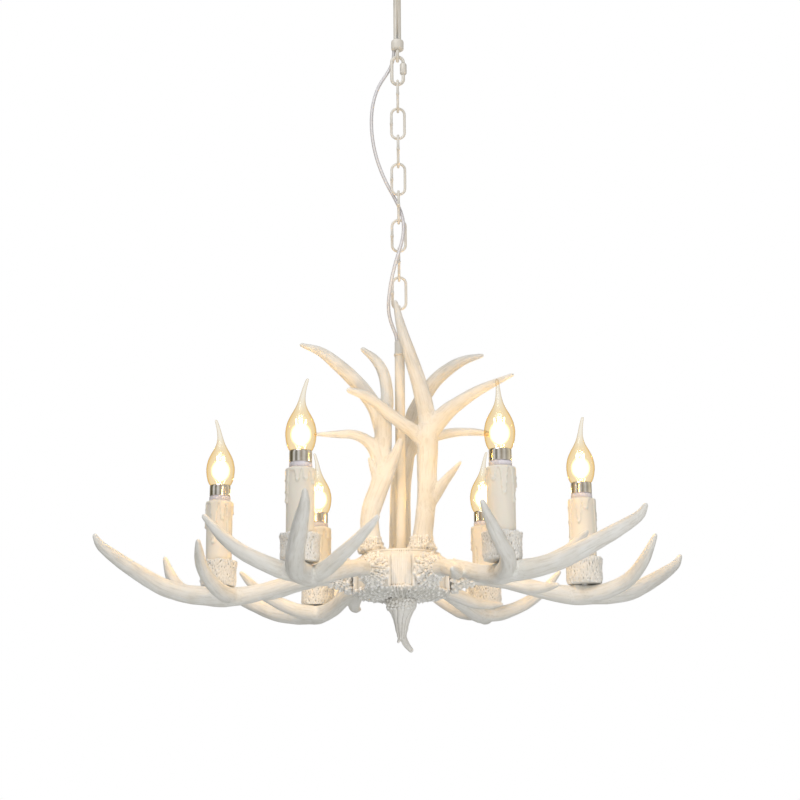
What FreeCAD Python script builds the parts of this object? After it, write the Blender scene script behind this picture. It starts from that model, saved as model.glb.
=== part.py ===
# Antler chandelier: six candle arms and three upright antlers on a bark drum,
# hung from a ceiling rose on a rod, a quick link and eight chain links.
# Millimetres, +Z up. The origin is the middle of the rose at the ceiling; all is below it.

import FreeCAD, Part
import math
import os

os.makedirs("parts", exist_ok=True)
V = FreeCAD.Vector
UP = V(0, 0, 1)

# ---------------------------------------------------------------- driving dimensions
# ceiling rose and its bracket
CANOPY_RADIUS = 50.0
CANOPY_HEIGHT = 28.0
CANOPY_WALL = 1.5
BRACKET_WIDTH = 22.0
BRACKET_THICKNESS = 2.5
BRACKET_TAB = 17.0
CEILING_SCREW_SPACING = 60.0
CEILING_SCREW_HOLE_RADIUS = 2.6
SIDE_SCREW_RADIUS = 2.0
SIDE_SCREW_LENGTH = 8.0

# rod, its coupling and the eye under it
ROD_RADIUS = 5.0
ROD_BORE_RADIUS = 3.5
ROD_BELOW_CANOPY = 96.6
ROD_THREAD_ABOVE = 10.0
ROD_NUT_ACROSS = 15.0
ROD_NUT_THICKNESS = 5.0
COUPLING_RADIUS = 8.2
COUPLING_HEIGHT = 14.0
COUPLING_ROUNDING = 2.5
COUPLING_SOCKET = 7.0
COUPLING_FLOOR = 3.5
SET_SCREW_RADIUS = 1.1
EYE_WIRE = 4.4
EYE_RADIUS = 6.4
EYE_TUCK = 0.7
EYE_STEM_RADIUS = 1.8
EYE_NUT_THICKNESS = 2.2

# quick link
QUICK_WIRE = 4.4
QUICK_LENGTH = 43.2
QUICK_WIDTH = 19.4
QUICK_GAP = 5.8
QUICK_GAP_BELOW_BEND = 1.2
QUICK_GAP_SHOWS = 0.8
QUICK_NUT_RADIUS = 3.8
QUICK_NUT_LENGTH = 15.0
QUICK_THREAD_PLAY = 0.08

# chain
CHAIN_LINKS = 8
CHAIN_WIRE = 3.4
CHAIN_PITCH = 38.6
CHAIN_WIDTH = 20.4
LINK_PLAY = 0.2
WELD_BULGE = 0.35
WELD_LENGTH = 3.0

# loop on top of the pole, and the pole
LOOP_WIRE = 3.2
LOOP_LEG_SPACING = 9.2
LOOP_INNER_HEIGHT = 44.7
LOOP_BASE_RADIUS = 6.3
LOOP_BASE_HEIGHT = 18.3
LOOP_FLANGE_RADIUS = 7.2
LOOP_FLANGE_HEIGHT = 2.6
LOOP_SPIGOT = 12.0
POLE_RADIUS = 6.2
POLE_BORE_RADIUS = 5.2
POLE_ABOVE_HUB = 250.0
POLE_NUT_ACROSS = 17.0
POLE_NUT_THICKNESS = 5.0
POLE_WIRE_HOLE_RADIUS = 3.5

# hub
COVER_INSET = 4.0
COVER_THICKNESS = 5.4
COVER_CHAMFER = 2.0
DRUM_RADIUS = 54.0
DRUM_WALL = 7.0
DRUM_HEIGHT = 44.0
BOSS_REACH = 6.0
BOSS_RADIUS = 17.0
ARM_ROOT_BELOW_COVER = 21.6
BASE_OVERHANG = 3.5
BASE_FLOOR = 4.0
BASE_RIM = 4.0
GRAIN_GROOVES = 9
GRAIN_GROOVE_RADIUS = 1.0

# upright antlers
UPRIGHT_HEIGHT = 312.0

# finial, a small antler tip that hangs under the hub
FINIAL_RADIUS = 18.3
FINIAL_SOCKET_RADIUS = 11.0
FINIAL_SOCKET_DEPTH = 11.0

# candles
ARM_COUNT = 6
FIRST_ARM_AZIMUTH = 30.0
CANDLE_CIRCLE = 221.0
SEAT_BELOW_ROOT = 10.5
SEAT_RADIUS = 15.0
CUP_RADIUS = 22.0
CUP_FOOT_RADIUS = 20.0
CUP_HEIGHT = 31.0
CUP_FLOOR = 4.0
SLEEVE_RADIUS = 15.7
SLEEVE_WALL = 1.8
SLEEVE_LENGTH = 100.6
SLEEVE_TOP_WALL = 3.0
SLEEVE_SHOULDER = 4.5
HOLDER_RADIUS = 11.6
HOLDER_RIM_RADIUS = 13.0
HOLDER_RIM_HEIGHT = 5.4
HOLDER_STANDOFF = 8.6
NIPPLE_RADIUS = 5.0
NIPPLE_BORE_RADIUS = 3.5
CUP_NIPPLE_DEPTH = 10.0
CUP_NIPPLE_ABOVE = 10.0

# bulb with a long bent tail
BULB_CAP_RADIUS = 6.95
BULB_CAP_LENGTH = 21.0
BULB_CONTACT_RADIUS = 4.0
BULB_COLLAR_RADIUS = 12.7
BULB_COLLAR_HEIGHT = 13.4
GLASS_FOOT_RADIUS = 11.3
GLASS_RADIUS = 17.5
GLASS_HEIGHT = 83.0
GLASS_WALL = 0.8
# which way each bulb's tail leans, in degrees from +X seen from above, for arms 1 to 6
BULB_TURNS = (100.0, 340.0, 20.0, 160.0, 190.0, 350.0)

# supply cable and the leads in the arms
CABLE_RADIUS = 2.2
CABLE_TOP_X = -4.7
CABLE_TOP_Y = 2.6
CABLE_FOOT_X = -3.1
CABLE_FOOT_DEPTH = 4.0
LEAD_RADIUS = 1.6
LEAD_BORE_RADIUS = 3.0
LEAD_START_RADIUS = 26.0
LEAD_BEND = 4.6
TERMINAL_LENGTH = 28.0
TERMINAL_WIDTH = 12.0
TERMINAL_HEIGHT = 11.0

# clearances
SLIP = 0.05
FIT = 0.15
PLAY = 0.3

# ---------------------------------------------------------------- radii that follow the drum
COVER_RADIUS = DRUM_RADIUS - COVER_INSET
ARM_SEAT_RADIUS = DRUM_RADIUS + BOSS_REACH
BASE_RADIUS = DRUM_RADIUS + BASE_OVERHANG

# ---------------------------------------------------------------- heights that follow
ROD_TOP = -CANOPY_HEIGHT + CANOPY_WALL + ROD_THREAD_ABOVE
ROD_FOOT = -CANOPY_HEIGHT - ROD_BELOW_CANOPY - COUPLING_SOCKET + FIT
COUPLING_TOP = -CANOPY_HEIGHT - ROD_BELOW_CANOPY
COUPLING_FOOT = COUPLING_TOP - COUPLING_HEIGHT
EYE_CENTRE = COUPLING_FOOT - EYE_RADIUS - EYE_WIRE / 2 + EYE_TUCK
EYE_WIRE_CENTRE = EYE_CENTRE - EYE_RADIUS
QUICK_TOP_CENTRE = EYE_WIRE_CENTRE + (EYE_WIRE + QUICK_WIRE) / 2 + LINK_PLAY
QUICK_FOOT_CENTRE = QUICK_TOP_CENTRE - (QUICK_LENGTH - QUICK_WIRE)
LINK_CENTRES = CHAIN_PITCH + CHAIN_WIRE + LINK_PLAY
FIRST_LINK_TOP = QUICK_FOOT_CENTRE + (QUICK_WIRE + CHAIN_WIRE) / 2 + LINK_PLAY
LAST_LINK_FOOT = FIRST_LINK_TOP - (CHAIN_LINKS - 1) * CHAIN_PITCH - LINK_CENTRES
LOOP_TOP_CENTRE = LAST_LINK_FOOT + (CHAIN_WIRE + LOOP_WIRE) / 2 + LINK_PLAY
LOOP_BASE_TOP = LOOP_TOP_CENTRE - LOOP_WIRE / 2 - LOOP_INNER_HEIGHT
POLE_TOP = LOOP_BASE_TOP - LOOP_BASE_HEIGHT
HUB_TOP = POLE_TOP - POLE_ABOVE_HUB
DRUM_TOP = HUB_TOP - COVER_THICKNESS
DRUM_FOOT = DRUM_TOP - DRUM_HEIGHT
BASE_FOOT = DRUM_FOOT - BASE_FLOOR
ARM_ROOT = HUB_TOP - COVER_THICKNESS - ARM_ROOT_BELOW_COVER
CUP_SEAT = ARM_ROOT - SEAT_BELOW_ROOT
CUP_TOP = CUP_SEAT + CUP_HEIGHT
SLEEVE_FOOT = CUP_SEAT + CUP_FLOOR
SLEEVE_TOP = SLEEVE_FOOT + SLEEVE_LENGTH
HOLDER_TOP = SLEEVE_TOP + HOLDER_RIM_HEIGHT
HOLDER_FOOT = SLEEVE_FOOT + HOLDER_STANDOFF
BULB_SEAT = HOLDER_TOP + PLAY
GLASS_FOOT = BULB_SEAT + BULB_COLLAR_HEIGHT


# ---------------------------------------------------------------- shared shapes
def save(name, *solids):
    """Write one piece, or a group of like pieces, as a named file."""
    shape = solids[0] if len(solids) == 1 else Part.makeCompound(list(solids))
    for solid in shape.Solids:
        if not solid.isValid():
            print("NOT VALID:", name)
    shape.exportStep("parts/" + name + ".step")
    print(f"{name}: {len(shape.Solids)} solid(s), {shape.Volume:.0f} mm3")


def disc(radius, low, high, x=0.0, y=0.0):
    """An upright cylinder from height low to height high."""
    return Part.makeCylinder(radius, high - low, V(x, y, low))


def turned(profile, x=0.0, y=0.0):
    """A solid of revolution about +Z from (radius, height) corners."""
    points = [V(r, 0, z) for r, z in profile]
    face = Part.Face(Part.makePolygon(points + points[:1]))
    solid = face.revolve(V(0, 0, 0), UP, 360)
    solid.translate(V(x, y, 0))
    return solid


def hexagon(across, low, high):
    """An upright hexagonal prism, given across its flats."""
    reach = across / math.sqrt(3)
    corners = [V(reach * math.cos(math.radians(a)), reach * math.sin(math.radians(a)), low)
               for a in range(0, 361, 60)]
    return Part.Face(Part.makePolygon(corners)).extrude(V(0, 0, high - low))


def limb(points, radii):
    """A tapering branch: a loft through circles strung along the given points."""
    spots = [V(*p) for p in points]
    rings = []
    for i, (spot, radius) in enumerate(zip(spots, radii)):
        before = spots[max(i - 1, 0)]
        after = spots[min(i + 1, len(spots) - 1)]
        rings.append(Part.Wire(Part.makeCircle(radius, spot, after - before)))
    return Part.makeLoft(rings, True, False)


def joined(*solids):
    """One solid from several that overlap, with its split faces rejoined where they can be."""
    whole = solids[0].multiFuse(list(solids[1:]))
    tidy = whole.removeSplitter()
    return tidy if tidy.isValid() else whole


def at_azimuth(shape, degrees):
    """Turn a copy, modelled looking out along -Y, to an azimuth seen from above."""
    copy = shape.copy()
    copy.rotate(V(0, 0, 0), UP, degrees)
    return copy


def rounded_path(points):
    """Straight runs joined by tangent arcs, each as large as its two runs allow.
    Returns the wire and the arcs' radii."""
    spots = [V(*p) for p in points]
    edges, radii = [], []
    start = spots[0]
    for before, corner, after in zip(spots, spots[1:], spots[2:]):
        back, ahead = before - corner, after - corner
        half_turn = (math.pi - back.getAngle(ahead)) / 2
        trim = 0.45 * min(back.Length, ahead.Length)
        radii.append(trim / math.tan(half_turn))
        back.normalize()
        ahead.normalize()
        first, last = corner + back * trim, corner + ahead * trim
        inward = back + ahead
        inward.normalize()
        middle = corner + inward * radii[-1] * (1 / math.cos(half_turn) - 1)
        edges.append(Part.LineSegment(start, first).toShape())
        edges.append(Part.Arc(first, middle, last).toShape())
        start = last
    edges.append(Part.LineSegment(start, spots[-1]).toShape())
    return Part.Wire(edges), radii


def tube_along(wire, radius):
    """A round solid swept along a wire of lines and tangent arcs."""
    start = wire.Edges[0].Vertexes[0].Point
    heading = wire.Edges[0].tangentAt(wire.Edges[0].FirstParameter)
    ring = Part.Wire(Part.makeCircle(radius, start, heading))
    return wire.makePipeShell([ring], True, False)


def oval_ring(width, length, wire, top_centre):
    """A closed oval of round wire in the XZ plane: two bars and two half rings.
    top_centre is the height of the wire's middle at the top."""
    bend = (width - wire) / 2
    high = top_centre - bend
    low = top_centre - (length - wire) + bend
    path = Part.Wire([
        Part.Arc(V(-bend, 0, high), V(0, 0, high + bend), V(bend, 0, high)).toShape(),
        Part.LineSegment(V(bend, 0, high), V(bend, 0, low)).toShape(),
        Part.Arc(V(bend, 0, low), V(0, 0, low - bend), V(-bend, 0, low)).toShape(),
        Part.LineSegment(V(-bend, 0, low), V(-bend, 0, high)).toShape(),
    ])
    ring = Part.Wire(Part.makeCircle(wire / 2, V(bend, 0, (high + low) / 2), UP))
    halves = []
    for edges in (path.Edges[:2], path.Edges[2:]):
        half = Part.Wire(edges)
        first = half.Edges[0].Vertexes[0].Point
        heading = half.Edges[0].tangentAt(half.Edges[0].FirstParameter)
        ring = Part.Wire(Part.makeCircle(wire / 2, first, heading))
        halves.append(half.makePipeShell([ring], True, False))
    return joined(*halves)


# ---------------------------------------------------------------- ceiling rose
def ceiling_bracket():
    """Steel strip screwed to the ceiling; its two bent-down tabs take the side screws."""
    half = CANOPY_RADIUS - CANOPY_WALL - PLAY - 2.0
    strip = Part.makeBox(2 * half, BRACKET_WIDTH, BRACKET_THICKNESS,
                         V(-half, -BRACKET_WIDTH / 2, -BRACKET_THICKNESS))
    bracket = strip
    for side in (-1, 1):
        inner = side * half if side < 0 else half - BRACKET_THICKNESS
        tab = Part.makeBox(BRACKET_THICKNESS, BRACKET_WIDTH / 2, BRACKET_TAB,
                           V(inner, -BRACKET_WIDTH / 4, -BRACKET_TAB))
        bracket = bracket.fuse(tab)
        hole = disc(CEILING_SCREW_HOLE_RADIUS, -BRACKET_THICKNESS - 1, 1,
                    side * CEILING_SCREW_SPACING / 2)
        thread = Part.makeCylinder(SIDE_SCREW_RADIUS + SLIP, 4 * BRACKET_THICKNESS,
                                   V(side * (half - 2 * BRACKET_THICKNESS), 0, side_screw_height()),
                                   V(side, 0, 0))
        bracket = bracket.cut(hole).cut(thread)
    wire_way = disc(ROD_RADIUS, -BRACKET_THICKNESS - 1, 1)
    return bracket.cut(wire_way).removeSplitter()


def side_screw_height():
    return -BRACKET_TAB + 5.0


def ceiling_canopy():
    """Turned steel cover with a rolled foot and the rod's hole in its floor."""
    r, h, t = CANOPY_RADIUS, CANOPY_HEIGHT, CANOPY_WALL
    curve = 12.0
    floor = -h
    outer = [V(r, 0, 0), V(r, 0, floor + curve),
             V(r - curve * 0.29, 0, floor + curve * 0.29), V(r - curve, 0, floor), V(0, 0, floor)]
    inner = [V(0, 0, floor + t), V(r - curve, 0, floor + t),
             V(r - curve * 0.29 - t * 0.71, 0, floor + curve * 0.29 + t * 0.71),
             V(r - t, 0, floor + curve), V(r - t, 0, 0)]
    edges = [Part.LineSegment(outer[0], outer[1]).toShape(),
             Part.Arc(outer[1], outer[2], outer[3]).toShape(),
             Part.LineSegment(outer[3], outer[4]).toShape(),
             Part.LineSegment(outer[4], inner[0]).toShape(),
             Part.LineSegment(inner[0], inner[1]).toShape(),
             Part.Arc(inner[1], inner[2], inner[3]).toShape(),
             Part.LineSegment(inner[3], inner[4]).toShape(),
             Part.LineSegment(inner[4], outer[0]).toShape()]
    shell = Part.Face(Part.Wire(edges)).revolve(V(0, 0, 0), UP, 360)
    shell = shell.cut(disc(ROD_RADIUS + FIT, floor - 1, floor + t + 1))
    for side in (-1, 1):
        shell = shell.cut(Part.makeCylinder(SIDE_SCREW_RADIUS + FIT, 4 * t,
                                            V(side * (r - 2 * t), 0, side_screw_height()),
                                            V(side, 0, 0)))
    return shell


def canopy_screws():
    """Two round-headed side screws through the cover into the bracket's tabs."""
    screws = []
    for side in (-1, 1):
        out = V(side, 0, 0)
        z = side_screw_height()
        head = Part.makeCylinder(2 * SIDE_SCREW_RADIUS, SIDE_SCREW_RADIUS,
                                 V(side * CANOPY_RADIUS, 0, z), out)
        tip = CANOPY_RADIUS - SIDE_SCREW_LENGTH
        shank = Part.makeCylinder(SIDE_SCREW_RADIUS, SIDE_SCREW_LENGTH, V(side * tip, 0, z), out)
        screws.append(joined(head, shank))
    return screws


# ---------------------------------------------------------------- rod, coupling and eye
def down_rod():
    """Steel tube from the rose down into the coupling; the cable runs inside it."""
    rod = disc(ROD_RADIUS, ROD_FOOT, ROD_TOP).cut(disc(ROD_BORE_RADIUS, ROD_FOOT - 1, ROD_TOP + 1))
    hole = Part.makeCylinder(SET_SCREW_RADIUS + SLIP, 2 * ROD_RADIUS,
                             V(0, 0, set_screw_height()), V(0, -1, 0))
    return rod.cut(hole)


def set_screw_height():
    return COUPLING_TOP + 2.5


def rod_nuts():
    """Two nuts that clamp the rod to the rose's floor."""
    floor = -CANOPY_HEIGHT
    nuts = []
    for low in (floor + CANOPY_WALL, floor - ROD_NUT_THICKNESS):
        nut = hexagon(ROD_NUT_ACROSS, low, low + ROD_NUT_THICKNESS)
        nuts.append(nut.cut(disc(ROD_RADIUS + SLIP, low - 1, low + ROD_NUT_THICKNESS + 1)))
    return nuts


def rod_set_screw():
    """Small grub screw in the rod just above the coupling."""
    depth = ROD_RADIUS - ROD_BORE_RADIUS
    return Part.makeCylinder(SET_SCREW_RADIUS, depth, V(0, -ROD_BORE_RADIUS - 0.2, set_screw_height()),
                             V(0, -1, 0))


def rod_coupling():
    """Rounded barrel: the rod's socket on top, the eye's hole and the cable's exit below."""
    body = disc(COUPLING_RADIUS, COUPLING_FOOT, COUPLING_TOP)
    rims = [e for e in body.Edges if e.Curve.TypeId == "Part::GeomCircle"]
    body = body.makeFillet(COUPLING_ROUNDING, rims)
    socket = disc(ROD_RADIUS + SLIP, COUPLING_TOP - COUPLING_SOCKET, COUPLING_TOP + 1)
    chamber = disc(ROD_RADIUS + CABLE_RADIUS / 2, COUPLING_FOOT + COUPLING_FLOOR,
                   COUPLING_TOP - COUPLING_SOCKET)
    stem = disc(EYE_STEM_RADIUS + SLIP, COUPLING_FOOT - 1, COUPLING_TOP)
    exit_hole = disc(CABLE_RADIUS + PLAY, COUPLING_FOOT - 1, COUPLING_FOOT + COUPLING_FLOOR + 0.5,
                     CABLE_TOP_X, CABLE_TOP_Y)
    return body.cut(socket).cut(chamber).cut(stem).cut(exit_hole)


def coupling_eye():
    """Closed eye in the YZ plane with a stem up through the coupling's floor, and its nut."""
    ring = Part.makeTorus(EYE_RADIUS, EYE_WIRE / 2, V(0, 0, EYE_CENTRE), V(1, 0, 0))
    top = COUPLING_FOOT + COUPLING_FLOOR
    stem = disc(EYE_STEM_RADIUS, EYE_CENTRE + EYE_RADIUS, top)
    head = disc(EYE_STEM_RADIUS * 1.8, top, top + EYE_NUT_THICKNESS)
    shoulder = disc(COUPLING_RADIUS, COUPLING_FOOT, COUPLING_TOP)
    shoulder = shoulder.cut(disc(EYE_STEM_RADIUS + SLIP, COUPLING_FOOT - 1, COUPLING_TOP + 1))
    return joined(ring.cut(shoulder), stem, head)


# ---------------------------------------------------------------- quick link
def quick_link():
    """Open oval of round steel in the XZ plane; the gap in its right bar is closed by the nut."""
    ring = oval_ring(QUICK_WIDTH, QUICK_LENGTH, QUICK_WIRE, QUICK_TOP_CENTRE)
    bar = (QUICK_WIDTH - QUICK_WIRE) / 2
    gap = Part.makeBox(2 * QUICK_WIRE, 2 * QUICK_WIRE, QUICK_GAP,
                       V(bar - QUICK_WIRE, -QUICK_WIRE, quick_gap_top() - QUICK_GAP))
    return ring.cut(gap)


def quick_gap_top():
    """Height of the gap's upper end, just under the upper bend."""
    return QUICK_TOP_CENTRE - (QUICK_WIDTH - QUICK_WIRE) / 2 - QUICK_GAP_BELOW_BEND


def quick_link_nut():
    """Long sleeve nut with flats, chamfered at both ends, screwed up over the gap."""
    bar = (QUICK_WIDTH - QUICK_WIRE) / 2
    high = quick_gap_top() - QUICK_GAP_SHOWS
    low = high - QUICK_NUT_LENGTH
    body = hexagon(2 * QUICK_NUT_RADIUS, low, high)
    cone = turned([(0, low), (QUICK_NUT_RADIUS * 0.92, low), (QUICK_NUT_RADIUS * 1.2, low + 1.6),
                   (QUICK_NUT_RADIUS * 1.2, high - 1.6), (QUICK_NUT_RADIUS * 0.92, high), (0, high)])
    nut = body.common(cone).cut(disc(QUICK_WIRE / 2 + QUICK_THREAD_PLAY, low - 1, high + 1))
    nut.translate(V(bar, 0, 0))
    return nut


# ---------------------------------------------------------------- chain
def chain_link(number):
    """Welded oval link; odd links lie in the YZ plane and even ones in the XZ plane."""
    top = FIRST_LINK_TOP - (number - 1) * CHAIN_PITCH
    link = oval_ring(CHAIN_WIDTH, LINK_CENTRES + CHAIN_WIRE, CHAIN_WIRE, top)
    bar = (CHAIN_WIDTH - CHAIN_WIRE) / 2
    middle = top - LINK_CENTRES / 2
    weld = disc(CHAIN_WIRE / 2 + WELD_BULGE, middle - WELD_LENGTH / 2, middle + WELD_LENGTH / 2, -bar)
    link = link.fuse(weld)
    return at_azimuth(link, 90) if number % 2 else link


# ---------------------------------------------------------------- loop and pole
def pole_loop():
    """Long loop in the YZ plane on a round base; the cable goes in between its legs."""
    leg = LOOP_LEG_SPACING / 2
    bend = LOOP_TOP_CENTRE - leg
    foot = LOOP_BASE_TOP - 2.0
    path = Part.Wire([
        Part.LineSegment(V(0, -leg, foot), V(0, -leg, bend)).toShape(),
        Part.Arc(V(0, -leg, bend), V(0, 0, LOOP_TOP_CENTRE), V(0, leg, bend)).toShape(),
        Part.LineSegment(V(0, leg, bend), V(0, leg, foot)).toShape(),
    ])
    arch = tube_along(path, LOOP_WIRE / 2)
    base = disc(LOOP_BASE_RADIUS, POLE_TOP, LOOP_BASE_TOP)
    flange = disc(LOOP_FLANGE_RADIUS, POLE_TOP, POLE_TOP + LOOP_FLANGE_HEIGHT)
    spigot = disc(POLE_BORE_RADIUS - SLIP, POLE_TOP - LOOP_SPIGOT, POLE_TOP)
    wire_way = disc(POLE_BORE_RADIUS - 1.2, POLE_TOP - LOOP_SPIGOT - 1, LOOP_BASE_TOP - 6.0)
    entry = disc(CABLE_RADIUS + PLAY, LOOP_BASE_TOP - 7.0, LOOP_BASE_TOP + 1, CABLE_FOOT_X)
    return joined(arch, base, flange, spigot).cut(wire_way).cut(entry)


def centre_pole():
    """Steel tube through the hub, with a side hole where the cable meets the leads."""
    foot = BASE_FOOT - POLE_NUT_THICKNESS - 2.0
    pole = disc(POLE_RADIUS, foot, POLE_TOP).cut(disc(POLE_BORE_RADIUS, foot - 1, POLE_TOP + 1))
    middle = (DRUM_TOP + DRUM_FOOT) / 2
    side = Part.makeCylinder(POLE_WIRE_HOLE_RADIUS, 2 * POLE_RADIUS, V(0, 0, middle), V(0, 1, 0))
    return pole.cut(side)


def pole_nut():
    """Nut under the hub that carries the whole hub on the pole's threaded end."""
    low = BASE_FOOT - POLE_NUT_THICKNESS
    nut = hexagon(POLE_NUT_ACROSS, low, BASE_FOOT)
    return nut.cut(disc(POLE_RADIUS + SLIP, low - 1, BASE_FOOT + 1))


# ---------------------------------------------------------------- hub
def arm_azimuths():
    """Turn of each arm about +Z from the viewer's side, anticlockwise from above."""
    return [FIRST_ARM_AZIMUTH + i * 360.0 / ARM_COUNT for i in range(ARM_COUNT)]


def hub_body():
    """Hollow drum with six flat round bosses that the arms seat on, and bark grooves between."""
    ring = disc(DRUM_RADIUS, DRUM_FOOT, DRUM_TOP)
    for azimuth in arm_azimuths():
        boss = Part.makeCylinder(BOSS_RADIUS, ARM_SEAT_RADIUS / 2, V(0, -ARM_SEAT_RADIUS / 2, ARM_ROOT),
                                 V(0, -1, 0))
        ring = ring.fuse(at_azimuth(boss, azimuth))
    ring = ring.cut(disc(DRUM_RADIUS - DRUM_WALL, DRUM_FOOT - 1, DRUM_TOP + 1))
    cutters = []
    for azimuth in arm_azimuths():
        spot = nut_face_radius()
        face = Part.makeCylinder(ROD_NUT_ACROSS * 0.7, spot / 2, V(0, -spot / 2, ARM_ROOT), V(0, -1, 0))
        way = Part.makeCylinder(NIPPLE_RADIUS + FIT, ARM_SEAT_RADIUS, V(0, -spot / 2, ARM_ROOT),
                                V(0, -1, 0))
        cutters += [at_azimuth(face, azimuth), at_azimuth(way, azimuth)]
        for i in range(GRAIN_GROOVES):
            turn = azimuth + 30.0 + (i - (GRAIN_GROOVES - 1) / 2) * 20.0 / GRAIN_GROOVES
            groove = disc(GRAIN_GROOVE_RADIUS, DRUM_FOOT - 1, DRUM_TOP + 1, 0, -DRUM_RADIUS - 0.3)
            cutters.append(at_azimuth(groove, turn))
    for cutter in cutters:
        ring = ring.cut(cutter)
    return ring


def nut_face_radius():
    """How far out the flat is, inside the drum, that each arm's nut bears on."""
    return DRUM_RADIUS - DRUM_WALL + 3.0


def upright_places():
    """Where each upright antler's screw goes through the cover."""
    grow = UPRIGHT_HEIGHT / 312.0
    spots = {"left": (-36.0, -12.0), "right": (25.0, -21.0), "back": (-1.0, 34.0)}
    return {side: (x * grow, y * grow) for side, (x, y) in spots.items()}


def hub_cover():
    """Round top plate that the pole passes through and the upright antlers stand on."""
    plate = turned([(0, DRUM_TOP), (COVER_RADIUS, DRUM_TOP), (COVER_RADIUS, HUB_TOP - COVER_CHAMFER),
                    (COVER_RADIUS - COVER_CHAMFER, HUB_TOP), (0, HUB_TOP)])
    plate = plate.cut(disc(POLE_RADIUS + FIT, DRUM_TOP - 1, HUB_TOP + 1))
    for x, y in upright_places().values():
        plate = plate.cut(disc(UPRIGHT_SCREW_RADIUS + FIT, DRUM_TOP - 1, HUB_TOP + 1, x, y))
    return plate


def hub_base():
    """Dished lower cover: a floor under the drum and a rim outside it."""
    rim_top = DRUM_FOOT + BASE_RIM
    inner = DRUM_RADIUS + PLAY
    base = turned([(POLE_RADIUS + FIT, BASE_FOOT), (BASE_RADIUS - 9.0, BASE_FOOT),
                   (BASE_RADIUS - 2.0, BASE_FOOT + 3.0), (BASE_RADIUS, DRUM_FOOT),
                   (BASE_RADIUS - 1.0, rim_top), (inner, rim_top), (inner, DRUM_FOOT),
                   (POLE_RADIUS + FIT, DRUM_FOOT)])
    return base


def terminal_block():
    """Plastic block on the hub's floor where the cable meets the six leads."""
    return Part.makeBox(TERMINAL_LENGTH, TERMINAL_WIDTH, TERMINAL_HEIGHT,
                        V(-TERMINAL_LENGTH / 2, POLE_RADIUS + 6.0, DRUM_FOOT))


def finial():
    """Small antler tip: a pebbled collar, a cone and a hooked end with a side nub."""
    top = BASE_FOOT
    r = FINIAL_RADIUS
    collar = turned([(0, top), (r * 0.93, top), (r, top - 4.0), (r * 0.97, top - 9.5),
                     (r * 0.8, top - 15.0), (r * 0.6, top - 21.0), (0, top - 25.0)])
    cone = limb([(0, 0, top - 12), (0, 0, top - 23), (0.5, 0, top - 38), (2, 0, top - 49),
                 (6, -1, top - 56), (11, -2, top - 62)], [14.0, 11.2, 7.4, 5.2, 4.2, 2.4])
    nub = limb([(1, 0, top - 41), (-2.5, 0, top - 48), (-4.5, 0, top - 53)], [4.2, 3.0, 1.5])
    solid = joined(collar, cone, nub)
    return solid.cut(disc(FINIAL_SOCKET_RADIUS, top - FINIAL_SOCKET_DEPTH, top + 1))


# ---------------------------------------------------------------- upright antlers
UPRIGHT_SCREW_RADIUS = 2.5
UPRIGHT_SCREW_GRIP = 16.0
BURR_HEIGHT = 7.0
BURR_STEP = 2.6

# branches of each upright antler: points (x, y, height above the hub) and radii, for one whose
# tallest tine stands 312 mm above the hub
RIGHT_ANTLER = (
    ([(25, -21, 0), (25, -21, 12), (29, -22, 42), (32, -22, 73), (32, -22, 99), (31, -22, 125),
      (31, -23, 152)], [15.0, 13.0, 11.8, 12.0, 11.5, 11.8, 11.0]),
    ([(31, -23, 144), (30, -23, 176), (23, -24, 210), (14, -25, 243), (4, -26, 276), (-4, -27, 312)],
     [8.8, 9.6, 8.4, 7.3, 5.8, 2.4]),
    ([(30, -23, 128), (16, -25, 147), (3, -27, 156), (-13, -31, 168), (-28, -36, 180), (-44, -42, 189),
      (-61, -50, 193)], [6.8, 8.0, 7.4, 6.7, 5.8, 4.6, 1.9]),
    ([(32, -22, 138), (43, -24, 160), (56, -25, 173), (71, -28, 182), (89, -33, 192), (109, -39, 201),
      (137, -46, 212)], [7.4, 9.2, 8.8, 7.6, 6.4, 4.9, 1.9]),
    ([(33, -22, 62), (43, -24, 73), (53, -28, 84), (63, -34, 95), (72, -40, 105)],
     [8.4, 7.0, 5.5, 3.9, 1.8]),
)
LEFT_ANTLER = (
    ([(-36, -12, 0), (-36, -12, 12), (-39, -12, 40), (-36, -12, 61), (-29, -12, 82), (-25, -12, 104),
      (-25, -12, 130), (-25, -12, 160), (-25, -12, 178)],
     [14.4, 12.0, 10.9, 10.7, 9.8, 8.6, 8.4, 8.6, 7.6]),
    ([(-24, -12, 148), (-29, -12, 178), (-41, -12, 198), (-55, -14, 216), (-74, -17, 234),
      (-97, -20, 251), (-121, -25, 258)], [6.4, 8.4, 8.4, 7.9, 6.9, 5.0, 2.0]),
    ([(-27, -12, 150), (-18, -11, 178), (-16, -9, 200), (-20, -6, 225), (-30, -3, 244),
      (-46, 0, 259)], [5.6, 6.9, 6.1, 5.3, 4.3, 1.9]),
    ([(-26, -12, 112), (-33, -13, 130), (-43, -15, 140), (-58, -20, 145), (-76, -26, 144),
      (-103, -35, 142)], [7.6, 7.6, 6.9, 5.9, 4.9, 1.9]),
    ([(-28, -12, 80), (-31, -14, 96), (-35, -17, 107), (-38, -20, 115)], [6.6, 5.0, 3.4, 1.8]),
    ([(-31, -12, 68), (-24, -14, 88), (-15, -17, 103), (-6, -20, 122), (3, -22, 141)],
     [8.0, 7.2, 6.0, 4.8, 2.2]),
)
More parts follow.
